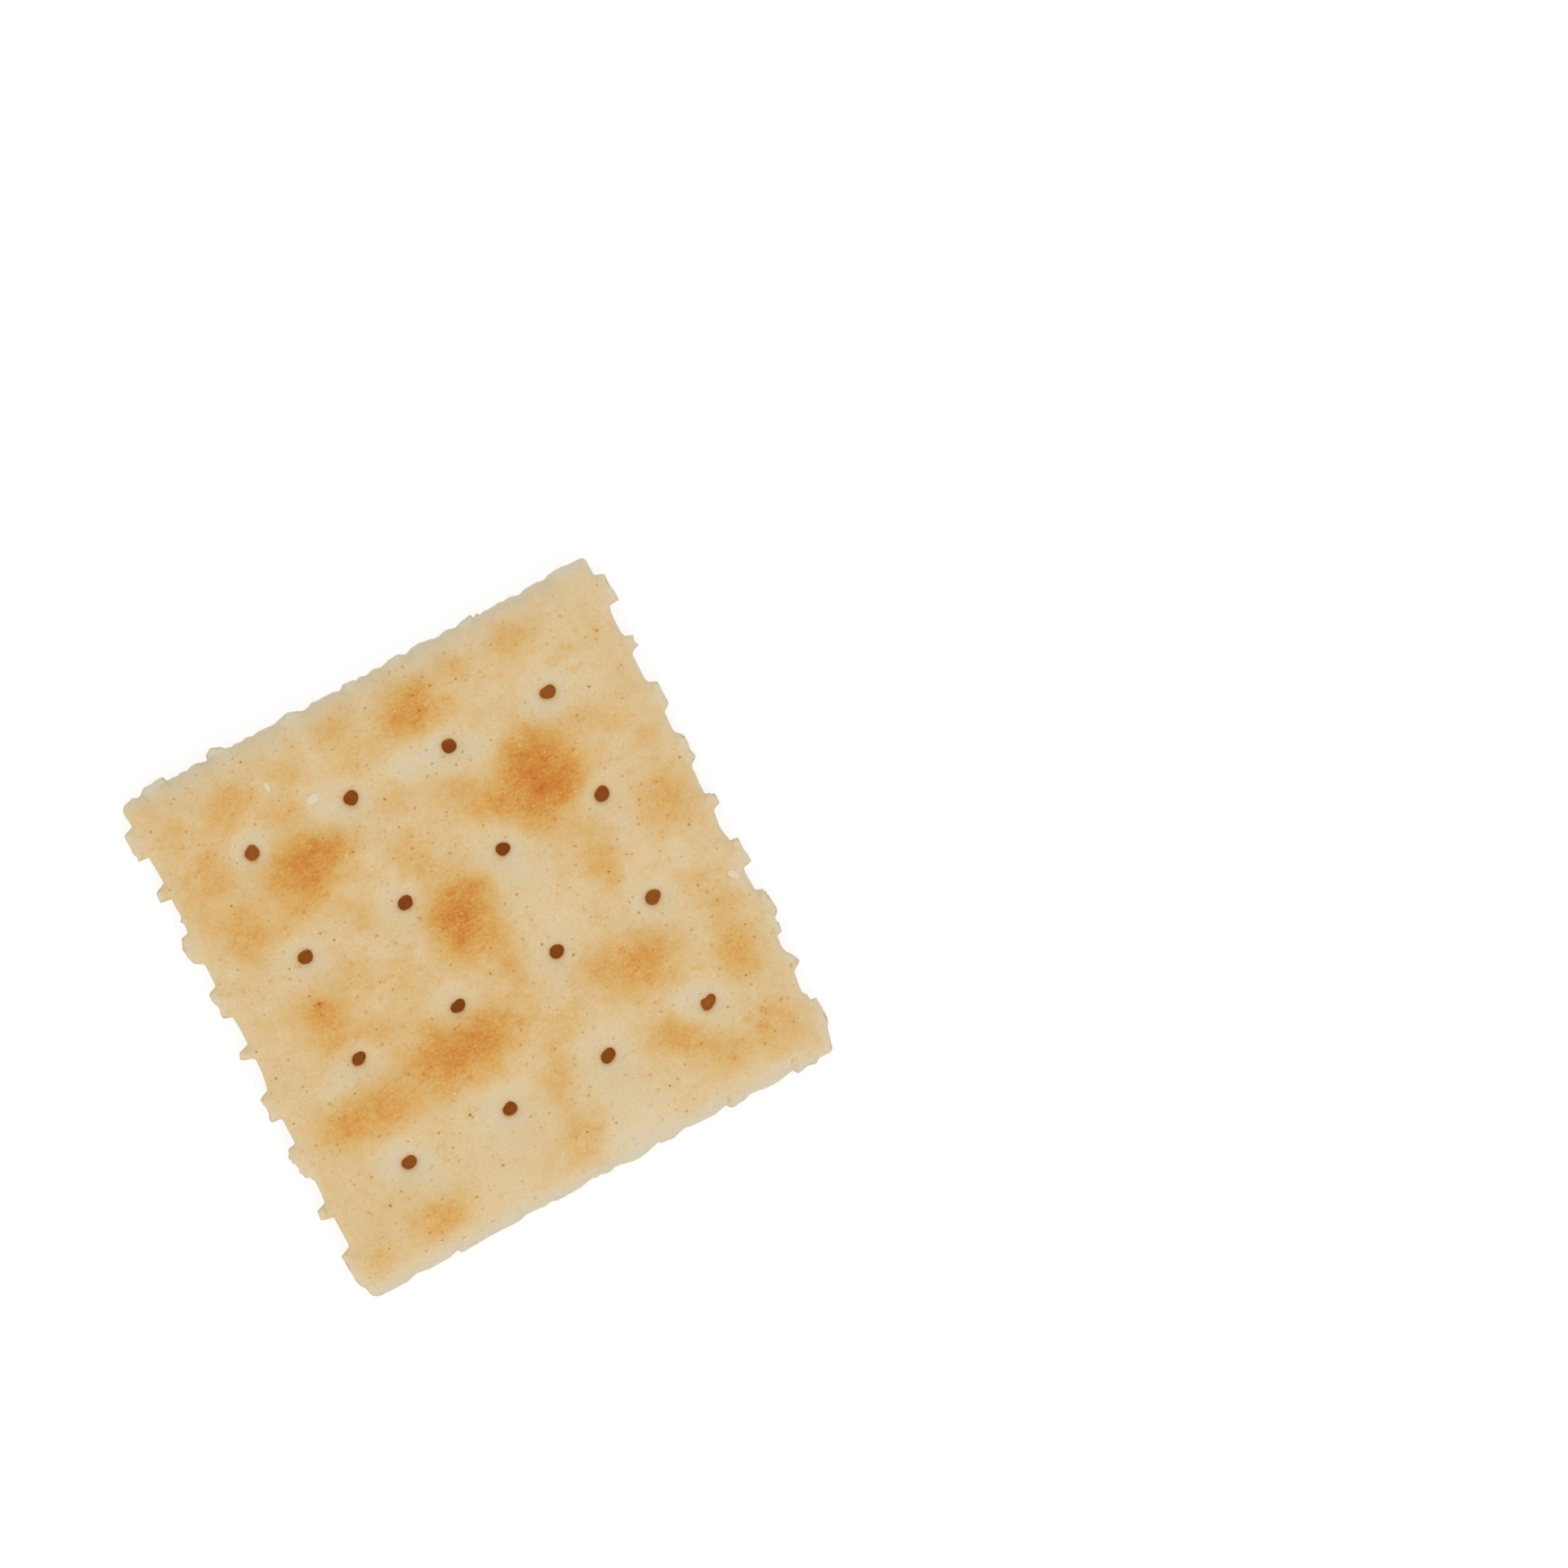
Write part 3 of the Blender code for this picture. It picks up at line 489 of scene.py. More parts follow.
def skin_height(x, y, edge, torn, brown):
    """Height of the upper skin; edge is the distance from the outline."""
    d = line_distance(x, y)
    t = np.clip((d + 0.35) / ROLL, 0.0, 1.0)
    z = TOOTH_TOP + (BODY_TOP - TOOTH_TOP) * (1.0 - (1.0 - t) ** 2.1)
    inside = smooth((d - 0.3) / 3.4)
    px = np.pi * (x - DOCK_MID[0]) / DOCK_PITCH[0]
    py = np.pi * (y - DOCK_MID[1]) / DOCK_PITCH[1]
    puff = 1.0 - np.abs(np.sin(px) * np.sin(py)) ** 1.4
    z = z + PILLOW * puff * inside
    for bx, by, lx, ly, rise in BLISTERS:
        z = z + rise * np.exp(-(((x - bx) / lx) ** 2 + ((y - by) / ly) ** 2) * 1.3) * inside
    z = z + 0.05 * np.sin(0.9 * x + 1.3) * np.sin(1.1 * y + 0.4) * inside
    near_hole = np.full_like(x, 9.0)
    for h in HOLES:
        r = np.hypot(x - h[0], y - h[1])
        near_hole = np.minimum(near_hole, r)
        z = z - FUNNEL_DEPTH * np.exp(-(r / FUNNEL_RADIUS) ** 2) - 0.10 * np.exp(-(r / 1.0) ** 2)
    # the cut slots pinch the skin down, the teeth keep it up
    z = z - (1 - torn) * 0.62 * np.exp(-((edge / 0.85) ** 1.3)) - torn * 0.06 * np.exp(-edge / 0.3)
    calm = smooth((near_hole - 0.9) / 1.4)
    z = z + (0.030 * waves(x / 2.7, y / 2.7, 21, 2) + 0.016 * waves(x / 0.9, y / 0.9, 22, 2)) * (0.35 + 0.65 * calm)
    toast = np.clip((brown - 0.42) / 0.5, 0, 1)
    bubbles = np.clip(wave(x / 0.62, y / 0.55, 23), 0, 1) ** 1.5
    z = z + 0.055 * toast * bubbles * smooth((edge - 0.2) / 0.8)
    z = z + 0.010 * wave(x / 0.33, y / 0.31, 24)
    z = z + torn * np.exp(-edge / 0.6) * 0.07 * wave(x / 0.55, y / 0.55, 25)
    return z


def under_height(x, y):
    """The underside is flat, but for shallow hollows left by the oven band."""
    z = 0.05 * np.clip(waves(x / 3.4, y / 3.4, 31, 2), 0, 1.2)
    return z + 0.012 * np.clip(wave(x / 0.8, y / 0.8, 32), 0, 1)


# ============================ mesh ==========================================
class Builder:
    def __init__(self):
        self.co, self.brown, self.hole, self.torn, self.pale, self.under = [], [], [], [], [], []
        self.deep, self.wall, self.tint = [], [], []
        self.count = 0
        self.faces, self.uvs = [], []

    def points(self, co, brown=0.3, hole=0.0, torn=0.0, pale=0.0, under=0.0, deep=0.0, wall=0.0, tint=(0.66, 0.60, 0.42)):
        n = len(co)
        self.co.append(np.asarray(co, float))
        for store, value in ((self.brown, brown), (self.hole, hole), (self.torn, torn), (self.pale, pale), (self.under, under), (self.deep, deep),
                             (self.wall, wall)):
            store.append(np.broadcast_to(np.asarray(value, float), (n,)).copy())
        self.tint.append(np.broadcast_to(np.asarray(tint, float), (n, 3)).copy())
        first = self.count
        self.count += n
        return np.arange(first, first + n)

    def triangles(self, tri, uv):
        """tri is (n, 3) of vertex numbers, uv is (n, 3, 2)."""
        self.faces.append(np.asarray(tri))
        self.uvs.append(np.asarray(uv, float))

    def band(self, low, high, uv_low, uv_high):
        """Faces between two closed rows of the same length; uv rows have one point more."""
        a, b = low, np.roll(low, -1)
        c, d = high, np.roll(high, -1)
        ua, ub, uc, ud = uv_low[:-1], uv_low[1:], uv_high[:-1], uv_high[1:]
        flip = np.arange(len(a)) % 2 == 0
        t1 = np.where(flip[:, None], np.stack([a, b, d], 1), np.stack([a, b, c], 1))
        t2 = np.where(flip[:, None], np.stack([a, d, c], 1), np.stack([b, d, c], 1))
        w1 = np.where(flip[:, None, None], np.stack([ua, ub, ud], 1), np.stack([ua, ub, uc], 1))
        w2 = np.where(flip[:, None, None], np.stack([ua, ud, uc], 1), np.stack([ub, ud, uc], 1))
        self.triangles(t1, w1)
        self.triangles(t2, w2)


def fill(border, rings, scatter):
    """Triangles inside a border and outside the rings, through the scattered points."""
    pts = [Vector(p) for p in border]
    loops = [list(range(len(border)))]
    for one in rings:
        start = len(pts)
        pts += [Vector(p) for p in one]
        loops.append(list(range(start, start + len(one))))
    pts += [Vector(p) for p in scatter]
    verts, _e, faces, origins, _eo, owners = delaunay_2d_cdt(pts, [], loops, 1, 1e-7, True)
    assert len(verts) == len(pts), "points merged"
    back = [o[0] for o in origins]
    tri = [[back[i] for i in f] for f, own in zip(faces, owners) if 0 in own and len(own) == 1]
    assert all(len(f) == 3 for f in tri)
    return np.array(tri)


def nearest(points, loop, chunk=4000):
    """Distance to the nearest point of the loop, and which it is."""
    dist, which = np.empty(len(points)), np.empty(len(points), int)
    for i in range(0, len(points), chunk):
        d2 = ((points[i:i + chunk, None, :] - loop[None, :, :]) ** 2).sum(2)
        which[i:i + chunk] = d2.argmin(1)
        dist[i:i + chunk] = np.sqrt(d2.min(1))
    return dist, which


def lattice(spacing, seed):
    rows = []
    y, row = -25.6, 0
    while y < 25.6:
        x = np.arange(-25.4, 25.6, spacing) + (0.5 * spacing if row % 2 else 0.0)
        rows.append(np.stack([x, np.full_like(x, y)], 1))
        y += spacing * math.sqrt(3) / 2
        row += 1
    p = np.concatenate(rows)
    rng = np.random.default_rng(seed)
    return p + rng.uniform(-0.16, 0.16, p.shape) * spacing


def hole_ring(h, scale, grow=0.0, lean=0.0, sides=HOLE_SIDES):
    """The uneven edge of a docking hole; grow adds to the radius, in mm."""
    x, y, radius, two, at2, three, at3, four, at4, lx, ly, _tone = h
    a = np.linspace(0, 2 * np.pi, sides, endpoint=False)
    seed = int(round(x * 7 + y * 3)) % 97
    uneven = 0.010 * wave(np.cos(a) * 2.4 + seed, np.sin(a) * 2.4, 42)
    for fold, out, at in ((2, two, at2), (3, three, at3), (4, four, at4)):
        uneven = uneven + out * np.cos(fold * (a - math.radians(at)))
    r = (radius + uneven / (1.0 + 2.2 * grow)) * scale + grow     # rounder as it grows
    lip = min(grow / 0.15, 1.0)            # the lip is wider on one side than on the other
    return np.stack([x - 0.040 * lip + r * np.cos(a) + lx * lean, y - 0.045 * lip + r * np.sin(a) + ly * lean], 1)


# the rim from the underside up, as (height, inset) of a torn tooth and of a sealed slot
RIM = (
    # torn          sealed
    ((0.00, 1.15), (0.00, 1.15)), ((0.03, 0.80), (0.03, 0.84)), ((0.10, 0.46), (0.09, 0.56)), ((0.20, 0.20), (0.18, 0.36)),
    ((0.31, 0.08), (0.27, 0.24)), ((0.43, 0.05), (0.36, 0.155)), ((0.555, 0.05), (0.45, 0.10)), ((0.68, 0.04), (0.54, 0.06)),
    ((0.805, 0.04), (0.62, 0.03)), ((0.93, 0.03), (0.70, 0.012)), ((1.055, 0.03), (0.78, 0.00)), ((1.18, 0.03), (0.87, 0.00)),
    ((1.305, 0.03), (0.96, 0.014)), ((1.43, 0.03), (1.05, 0.032)), ((1.55, 0.03), (1.15, 0.056)), ((1.67, 0.04), (1.26, 0.086)),
    ((1.79, 0.04), (1.38, 0.12)), ((1.91, 0.05), (1.51, 0.16)), ((2.02, 0.08), (1.65, 0.205)), ((2.11, 0.15), (1.80, 0.26)),
    ((2.19, 0.26), (1.96, 0.33)), ((2.25, 0.42), (2.12, 0.42)),
)


def hollows(s, z):
    """How deep the broken face of a tooth goes in between its layers."""
    z = z + 0.10 * wave(s / 1.9, s * 0 + 0.5, 55)
    wide = smooth((wave(s / 1.15, z / 0.20, 52) - 0.08) / 0.45)
    small = smooth((wave(s / 0.42, z / 0.16, 56) - 0.22) / 0.45)
    return 0.20 * wide + 0.08 * small + 0.035 * np.clip(wave(s / 2.1, z / 0.37, 57) + 0.5, 0, 1.2) + 0.020 * (waves(s / 0.27, z / 0.13, 53, 2) + 0.8)


def make_crust():
    outline, torn, around = make_outline()
    loops = inward_loops(outline, torn)
    n = AROUND
    s = np.arange(n) * around / n
    b = Builder()

    # ---- rim ----
    top_loop = at_inset(loops, np.full(n, RIM[-1][0][1]))
    top_brown = browning(top_loop[:, 0], top_loop[:, 1])
    top_z = skin_height(top_loop[:, 0], top_loop[:, 1], np.full(n, 0.42), torn, top_brown)
    wander = torn * 0.12 * waves(s / 2.6, s * 0 + 5, 51, 2)
    levels, insets, depths = [], [], []
    for k, ((zt, it), (zs, is_)) in enumerate(RIM):
        mid = math.sin(math.pi * (k - 2) / 18.0) if 2 < k < 20 else 0.0
        z = zs * (1 - torn) + zt * torn
        z = z + mid * (wander + torn * 0.05 * wave(s / 0.9, s * 0 + 0.31 * k, 54) + (1 - torn) * 0.03 * wave(s / 1.6, s * 0 + 0.2 * k, 58))
        deep = hollows(s, z) * torn * min(mid * 2.2, 1.0)
        inset = is_ * (1 - torn) + it * torn + deep
        if 3 < k < 21:       # the sealed slot shows its layers faintly
            inset = inset + (1 - torn) * (0.016 * waves(s / 1.1, z / 0.17, 59, 2) + 0.016)
        lift = max(0.0, (k - 11) / (len(RIM) - 12.0))
        z = z + (top_z - RIM[-1][1][0] * (1 - torn) - RIM[-1][0][0] * torn) * lift ** 1.3
        levels.append(z)
        insets.append(inset)
        depths.append(deep)
    out_by = np.min(np.array(insets[4:19]), axis=0)
    rows = []
    v_along = 0.0
    rim_v = [0.0]
    for k in range(len(RIM)):
        inset = insets[k] - (out_by if 3 < k < 19 else 0.0)
        xy = at_inset(loops, inset)
        z = levels[k]
        if k == 0:
            z = under_height(xy[:, 0], xy[:, 1])
        ragged = 0.10 * waves(s / 0.7, z / 0.3, 66, 2)
        low = 1.0 - smooth((levels[k] + ragged - 0.05) / 0.48)
        open_face = torn * (2.0 - torn) * smooth((torn + 3.0 * ragged - 0.28) / 0.3)
        open_face = open_face * smooth((2.09 - z + 0.6 * ragged) / 0.20) * smooth((z + ragged - 0.12) / 0.25)
        br = browning(xy[:, 0], xy[:, 1]) * (1 - low) + under_browning(xy[:, 0], xy[:, 1]) * low
        # the rim tint carries painted shade on the far and near sides and in the slots
        tint, share = rim_tint_and_shade(xy[:, 0], xy[:, 1], np.clip(inset, 0, None), torn)
        wall = 1.0 - smooth((z + ragged - 0.95) / 1.05)
        tint = tint + (np.array(paint(*WALL_TINT)[:3]) - tint) * 0.9 * wall[:, None]
        share = (share + (0.72 - share) * wall) * (1 - low)
        rows.append(b.points(np.column_stack([xy, z]), brown=br, torn=open_face, pale=share, tint=tint, under=low, wall=1.0 if k < 19 else 0.5 * (21 - k),
                             deep=np.clip((depths[k] - 0.06) / 0.14, 0, 1)))
        if k:
            v_along += float(np.mean(np.hypot(levels[k] - levels[k - 1], insets[k] - insets[k - 1]))) + 0.02
            rim_v.append(v_along)
    rim_v = np.array(rim_v) / rim_v[-1]
    # four strips above the picture of the upper skin
    quarter = n / 4.0
    for k in range(len(RIM) - 1):
        for strip in range(4):
            i0, i1 = int(round(strip * quarter)), int(round((strip + 1) * quarter))
            idx = np.arange(i0, i1 + 1)
            u = 0.005 + 0.985 * (idx - i0) / (i1 - i0)
            v0 = 0.722 + strip * 0.069
            va, vb = v0 + 0.064 * rim_v[k], v0 + 0.064 * rim_v[k + 1]
            lo, hi = rows[k][idx % n], rows[k + 1][idx % n]
            a, bb, c, d = lo[:-1], lo[1:], hi[:-1], hi[1:]
            ua = np.stack([u[:-1], np.full(len(u) - 1, va)], 1)
            ub = np.stack([u[1:], np.full(len(u) - 1, va)], 1)
            uc = np.stack([u[:-1], np.full(len(u) - 1, vb)], 1)
            ud = np.stack([u[1:], np.full(len(u) - 1, vb)], 1)
            b.triangles(np.stack([a, bb, d], 1), np.stack([ua, ub, ud], 1))
            b.triangles(np.stack([a, d, c], 1), np.stack([ua, ud, uc], 1))

    # ---- upper skin ----
    def top_uv(xy):
        return np.stack([0.355 + xy[:, 0] * 0.0137, 0.357 + xy[:, 1] * 0.0137], 1)

    collars = [hole_ring(h, 1.0, 0.62) for h in HOLES]
    free = lattice(LATTICE, 7)
    dist, which = nearest(free, top_loop)
    inside = np.zeros(len(free), bool)
    # a point is inside if it lies left of its nearest stretch of the border
    nxt, prv = top_loop[(which + 1) % n], top_loop[(which - 1) % n]
    t = nxt - prv
    away = free - top_loop[which]
    inside = (t[:, 0] * away[:, 1] - t[:, 1] * away[:, 0] > 0) & (dist > 0.62 * LATTICE)
    for c in collars:
        dc, _w = nearest(free, c)
        mid = c.mean(0)
        r = np.hypot(*(free - mid).T)
        inside &= (dc > 0.5 * LATTICE) & (r > np.hypot(*(c - mid).T).min())
    free, dist, which = free[inside], dist[inside], which[inside]
    tri = fill(top_loop, collars, free)
    inner_xy = np.concatenate(collars + [free])
    d_edge, w_edge = nearest(inner_xy, outline)
    near_torn = torn[w_edge] * np.exp(-(np.clip(d_edge - 0.42, 0, None) / 1.4) ** 2)
    br = browning(inner_xy[:, 0], inner_xy[:, 1])
    z = skin_height(inner_xy[:, 0], inner_xy[:, 1], d_edge, near_torn, br)
    tint, share = rim_tint_and_shade(inner_xy[:, 0], inner_xy[:, 1], d_edge, near_torn)
    ids = b.points(np.column_stack([inner_xy, z]), brown=br, pale=share, tint=tint, torn=0.0, hole=hole_fringe_and_shade(inner_xy))
    table = np.concatenate([rows[-1], ids])
    where = np.concatenate([top_loop, inner_xy])
    b.triangles(table[tri], top_uv(where)[tri].reshape(-1, 3, 2))
    skin_of_hole = []
    for k in range(len(HOLES)):
        skin_of_hole.append(ids[k * HOLE_SIDES:(k + 1) * HOLE_SIDES])

    # ---- docking holes ----
    for k, h in enumerate(HOLES):
        rings = (
            # scale, grow, lean, drop below the skin, hole share
            (1.0, 0.46, 0.0, 0.000, 0.075), (1.0, 0.33, 0.0, 0.004, 0.14), (1.0, 0.20, 0.0, 0.014, 0.215), (1.0, 0.10, 0.0, 0.040, 0.30),
            (1.0, 0.025, 0.0, 0.095, 0.44), (0.985, 0.0, 0.05, 0.22, 0.84), (0.965, 0.0, 0.15, 0.40, 0.90), (0.945, 0.0, 0.35, 0.66, 0.96),
            (0.920, 0.0, 0.65, 0.96, 1.0),
        )
        last = skin_of_hole[k]
        turns = np.linspace(0, 1, HOLE_SIDES + 1)
        v0, tall = 0.290 + k * 0.0262, 0.0235
        prev_xy = collars[k]
        for j, (scale, grow, lean, drop, share) in enumerate(rings):
            xy = hole_ring(h, scale, grow, lean)
            z = skin_height(xy[:, 0], xy[:, 1], np.full(HOLE_SIDES, 9.0), np.zeros(HOLE_SIDES), np.full(HOLE_SIDES, 0.2)) - drop
            if drop > 0.2:
                z = z + 0.03 * wave(np.arange(HOLE_SIDES) / 2.5, np.full(HOLE_SIDES, j * 1.7 + k), 61)
            if share < 0.7:
                now = b.points(np.column_stack([xy, z]), brown=browning(xy[:, 0], xy[:, 1]), hole=share)
            else:
                # the bore is painted dark brown for the shade inside it, lighter or darker by each hole's tone
                now = b.points(np.column_stack([xy, z]), brown=h[11] + 0.24, hole=share)
            if share < 0.7:
                ua = top_uv(np.concatenate([prev_xy, prev_xy[:1]]))
                uc = top_uv(np.concatenate([xy, xy[:1]]))
            else:
                f0, f1 = (j - 5) / 5.0, (j - 4) / 5.0
                ua = np.stack([0.722 + 0.272 * turns, np.full(HOLE_SIDES + 1, v0 + tall * f0)], 1)
                uc = np.stack([0.722 + 0.272 * turns, np.full(HOLE_SIDES + 1, v0 + tall * f1)], 1)
            b.band(last, now, ua, uc)
            last, prev_xy = now, xy
        # the blind end
        floor = hole_ring(h, 0.84, 0.0, 1.0)
        mid = np.array([[h[0] + h[9], h[1] + h[10]]])
        fz = HOLE_FLOOR + 0.03 * wave(np.arange(HOLE_SIDES) / 3.0, np.full(HOLE_SIDES, float(k)), 62)
        f_ids = b.points(np.column_stack([floor, fz]), brown=h[11] + 0.20, hole=1.0)
        ua = np.stack([0.722 + 0.272 * turns, np.full(HOLE_SIDES + 1, v0 + tall * 0.8)], 1)
        uc = np.stack([0.722 + 0.272 * turns, np.full(HOLE_SIDES + 1, v0 + tall)], 1)
        b.band(last, f_ids, ua, uc)
        half = mid + (floor - mid) * 0.5
        h_ids = b.points(np.column_stack([half, np.full(HOLE_SIDES, HOLE_FLOOR - 0.05) + 0.02 * wave(half[:, 0] / 0.3, half[:, 1] / 0.3, 63)]),
                         brown=h[11], hole=1.0)
        b.band(f_ids, h_ids, top_uv(np.concatenate([floor, floor[:1]])), top_uv(np.concatenate([half, half[:1]])))
        tip = b.points([[mid[0, 0], mid[0, 1], HOLE_FLOOR - 0.06]], brown=h[11], hole=1.0)[0]
        uf = top_uv(np.concatenate([half, half[:1]]))
        ut = np.broadcast_to(top_uv(mid), (HOLE_SIDES, 2))
        b.triangles(np.stack([h_ids, np.roll(h_ids, -1), np.full(HOLE_SIDES, tip)], 1), np.stack([uf[:-1], uf[1:], ut], 1))

    # ---- underside ----
    base_loop = at_inset(loops, insets[0])
    pits = []
    for h in HOLES:
        a = np.linspace(0, 2 * np.pi, 20, endpoint=False)
        r = PIT_RADIUS * (1 + 0.06 * wave(np.cos(a) * 1.5 + h[0], np.sin(a) * 1.5 + h[1], 71))
        pits.append((h, a, r))
    rims = [np.stack([h[0] + (r + 0.28) * np.cos(a), h[1] + (r + 0.28) * np.sin(a)], 1) for h, a, r in pits]
    free = lattice(UNDER_LATTICE, 9)
    dist, which = nearest(free, base_loop)
    nxt, prv = base_loop[(which + 1) % n], base_loop[(which - 1) % n]
    t = nxt - prv
    away = free - base_loop[which]
    inside = (t[:, 0] * away[:, 1] - t[:, 1] * away[:, 0] > 0) & (dist > 0.35)
    for h in HOLES:
        inside &= np.hypot(free[:, 0] - h[0], free[:, 1] - h[1]) > PIT_RADIUS + 0.28 + 0.22
    free = free[inside]
    tri = fill(base_loop, rims, free)
    inner_xy = np.concatenate(rims + [free])
    ids = b.points(np.column_stack([inner_xy, under_height(inner_xy[:, 0], inner_xy[:, 1])]),
                   brown=under_browning(inner_xy[:, 0], inner_xy[:, 1]), under=1.0)
    table = np.concatenate([rows[0], ids])
    where = np.concatenate([base_loop, inner_xy])

    def base_uv(xy):
        return np.stack([0.857 - xy[:, 0] * 0.0052, 0.142 + xy[:, 1] * 0.0052], 1)

    b.triangles(table[tri][:, ::-1], base_uv(where)[tri][:, ::-1].reshape(-1, 3, 2))
    for k, (h, a, r) in enumerate(pits):
        last = ids[k * 20:(k + 1) * 20]
        prev = rims[k]
        for grow, deep in ((0.08, 0.03), (-0.06, 0.12), (-0.22, 0.24), (-0.42, PIT_DEPTH)):
            xy = np.stack([h[0] + (r + grow) * np.cos(a), h[1] + (r + grow) * np.sin(a)], 1)
            z = under_height(xy[:, 0], xy[:, 1]) + deep
            now = b.points(np.column_stack([xy, z]), brown=under_browning(xy[:, 0], xy[:, 1]), under=1.0, hole=0.5 * deep)
            b.band(now, last, base_uv(np.concatenate([xy, xy[:1]])), base_uv(np.concatenate([prev, prev[:1]])))
            last, prev = now, xy
        mid = np.array([[h[0], h[1]]])
        tip = b.points([[h[0], h[1], PIT_DEPTH + 0.01]], brown=0.4, under=1.0, hole=0.16)[0]
        uf = base_uv(np.concatenate([prev, prev[:1]]))
        ut = np.broadcast_to(base_uv(mid), (20, 2))
        b.triangles(np.stack([np.roll(last, -1), last, np.full(20, tip)], 1), np.stack([uf[1:], uf[:-1], ut], 1))
    return b


def to_object(name, b):
    used, tri = np.unique(np.concatenate(b.faces), return_inverse=True)      # points that no face took are left out
    tri = tri.reshape(-1, 3)
    co = np.concatenate(b.co)[used]
    co[:, 0] += BOX_SHIFT[0]
    co[:, 1] += BOX_SHIFT[1]
    co *= MM
    uv = np.concatenate(b.uvs)
    mesh = bpy.data.meshes.new(name)
    mesh.vertices.add(len(co))
    mesh.vertices.foreach_set("co", co.ravel())
    mesh.loops.add(len(tri) * 3)
    mesh.loops.foreach_set("vertex_index", tri.ravel().astype(np.int32))
    mesh.polygons.add(len(tri))
    mesh.polygons.foreach_set("loop_start", np.arange(0, len(tri) * 3, 3, dtype=np.int32))
    mesh.update(calc_edges=True)
    layer = mesh.uv_layers.new(name="OFBake")
    layer.data.foreach_set("uv", uv.reshape(-1))
    for key in ("brown", "hole", "torn", "pale", "under", "deep", "wall"):
        attribute = mesh.attributes.new(key, "FLOAT", "POINT")
        attribute.data.foreach_set("value", np.concatenate(getattr(b, key))[used].astype(np.float32))
    tint = np.concatenate(b.tint)[used]
    attribute = mesh.attributes.new("tint", "FLOAT_COLOR", "POINT")
    attribute.data.foreach_set("color", np.column_stack([tint, np.ones(len(tint))]).astype(np.float32).ravel())
    mesh.validate()
    mesh.shade_smooth()
    obj = bpy.data.objects.new(name, mesh)
    bpy.context.scene.collection.objects.link(obj)
    return obj


# ============================ salt ==========================================
def make_salt(ground):
    """Worn crystals, half sunk in the skin, joined into one mesh."""
    co, tri, clear = [], [], []
    count = 0
    for k, (x, y, long, short, turn, glassy) in enumerate(SALT):
        rng = np.random.default_rng(100 + k)
        rings, sides = 9, 22
        c, s = math.cos(math.radians(turn)), math.sin(math.radians(turn))
        high = 0.40 * min(long, short)
        pts = []
        for i in range(rings + 1):
            phi = math.pi * i / rings
            for j in range(sides):
                th = 2 * math.pi * j / sides
                # a block with worn corners
                cx, cy, cz = math.cos(th) * math.sin(phi), math.sin(th) * math.sin(phi), math.cos(phi)
                p = (abs(cx) ** 2.4 + abs(cy) ** 2.4 + abs(cz) ** 2.4) ** (-1 / 2.4)
                w = 1.0 + 0.07 * wave([cx * 1.7 + 9.0 * k], [cy * 1.7 + cz], 81)[0] + 0.02 * rng.uniform(-1, 1) * math.sin(phi)
                u, v, h = cx * p * long * w, cy * p * short * w, cz * p * high * w
                px, py = x + u * c - v * s, y + u * s + v * c
                pts.append((px, py, ground(px, py) + h * 0.7))
                clear.append(glassy)
        co += pts
        for i in range(rings):
            for j in range(sides):
                a, d = count + i * sides + j, count + i * sides + (j + 1) % sides
                e, f = a + sides, d + sides
                if i > 0:
                    tri.append((a, e, d))
                if i < rings - 1:
                    tri.append((d, e, f))
        count += len(pts)
    verts = [((x + BOX_SHIFT[0]) * MM, (y + BOX_SHIFT[1]) * MM, z * MM) for x, y, z in co]
    mesh = bpy.data.meshes.new("salt")
    mesh.from_pydata(verts, [], tri)
    mesh.attributes.new("clear", "FLOAT", "POINT").data.foreach_set("value", clear)
    bm = bmesh.new()
    bm.from_mesh(mesh)
    bmesh.ops.remove_doubles(bm, verts=bm.verts[:], dist=1e-6)
    loose = [v for v in bm.verts if not v.link_faces]
    bmesh.ops.delete(bm, geom=loose, context="VERTS")
    bmesh.ops.recalc_face_normals(bm, faces=bm.faces[:])
    bm.to_mesh(mesh)
    bm.free()
    mesh.shade_smooth()
    mesh.set_sharp_from_angle(angle=math.radians(60))
    obj = bpy.data.objects.new("salt", mesh)
    bpy.context.scene.collection.objects.link(obj)
    return obj


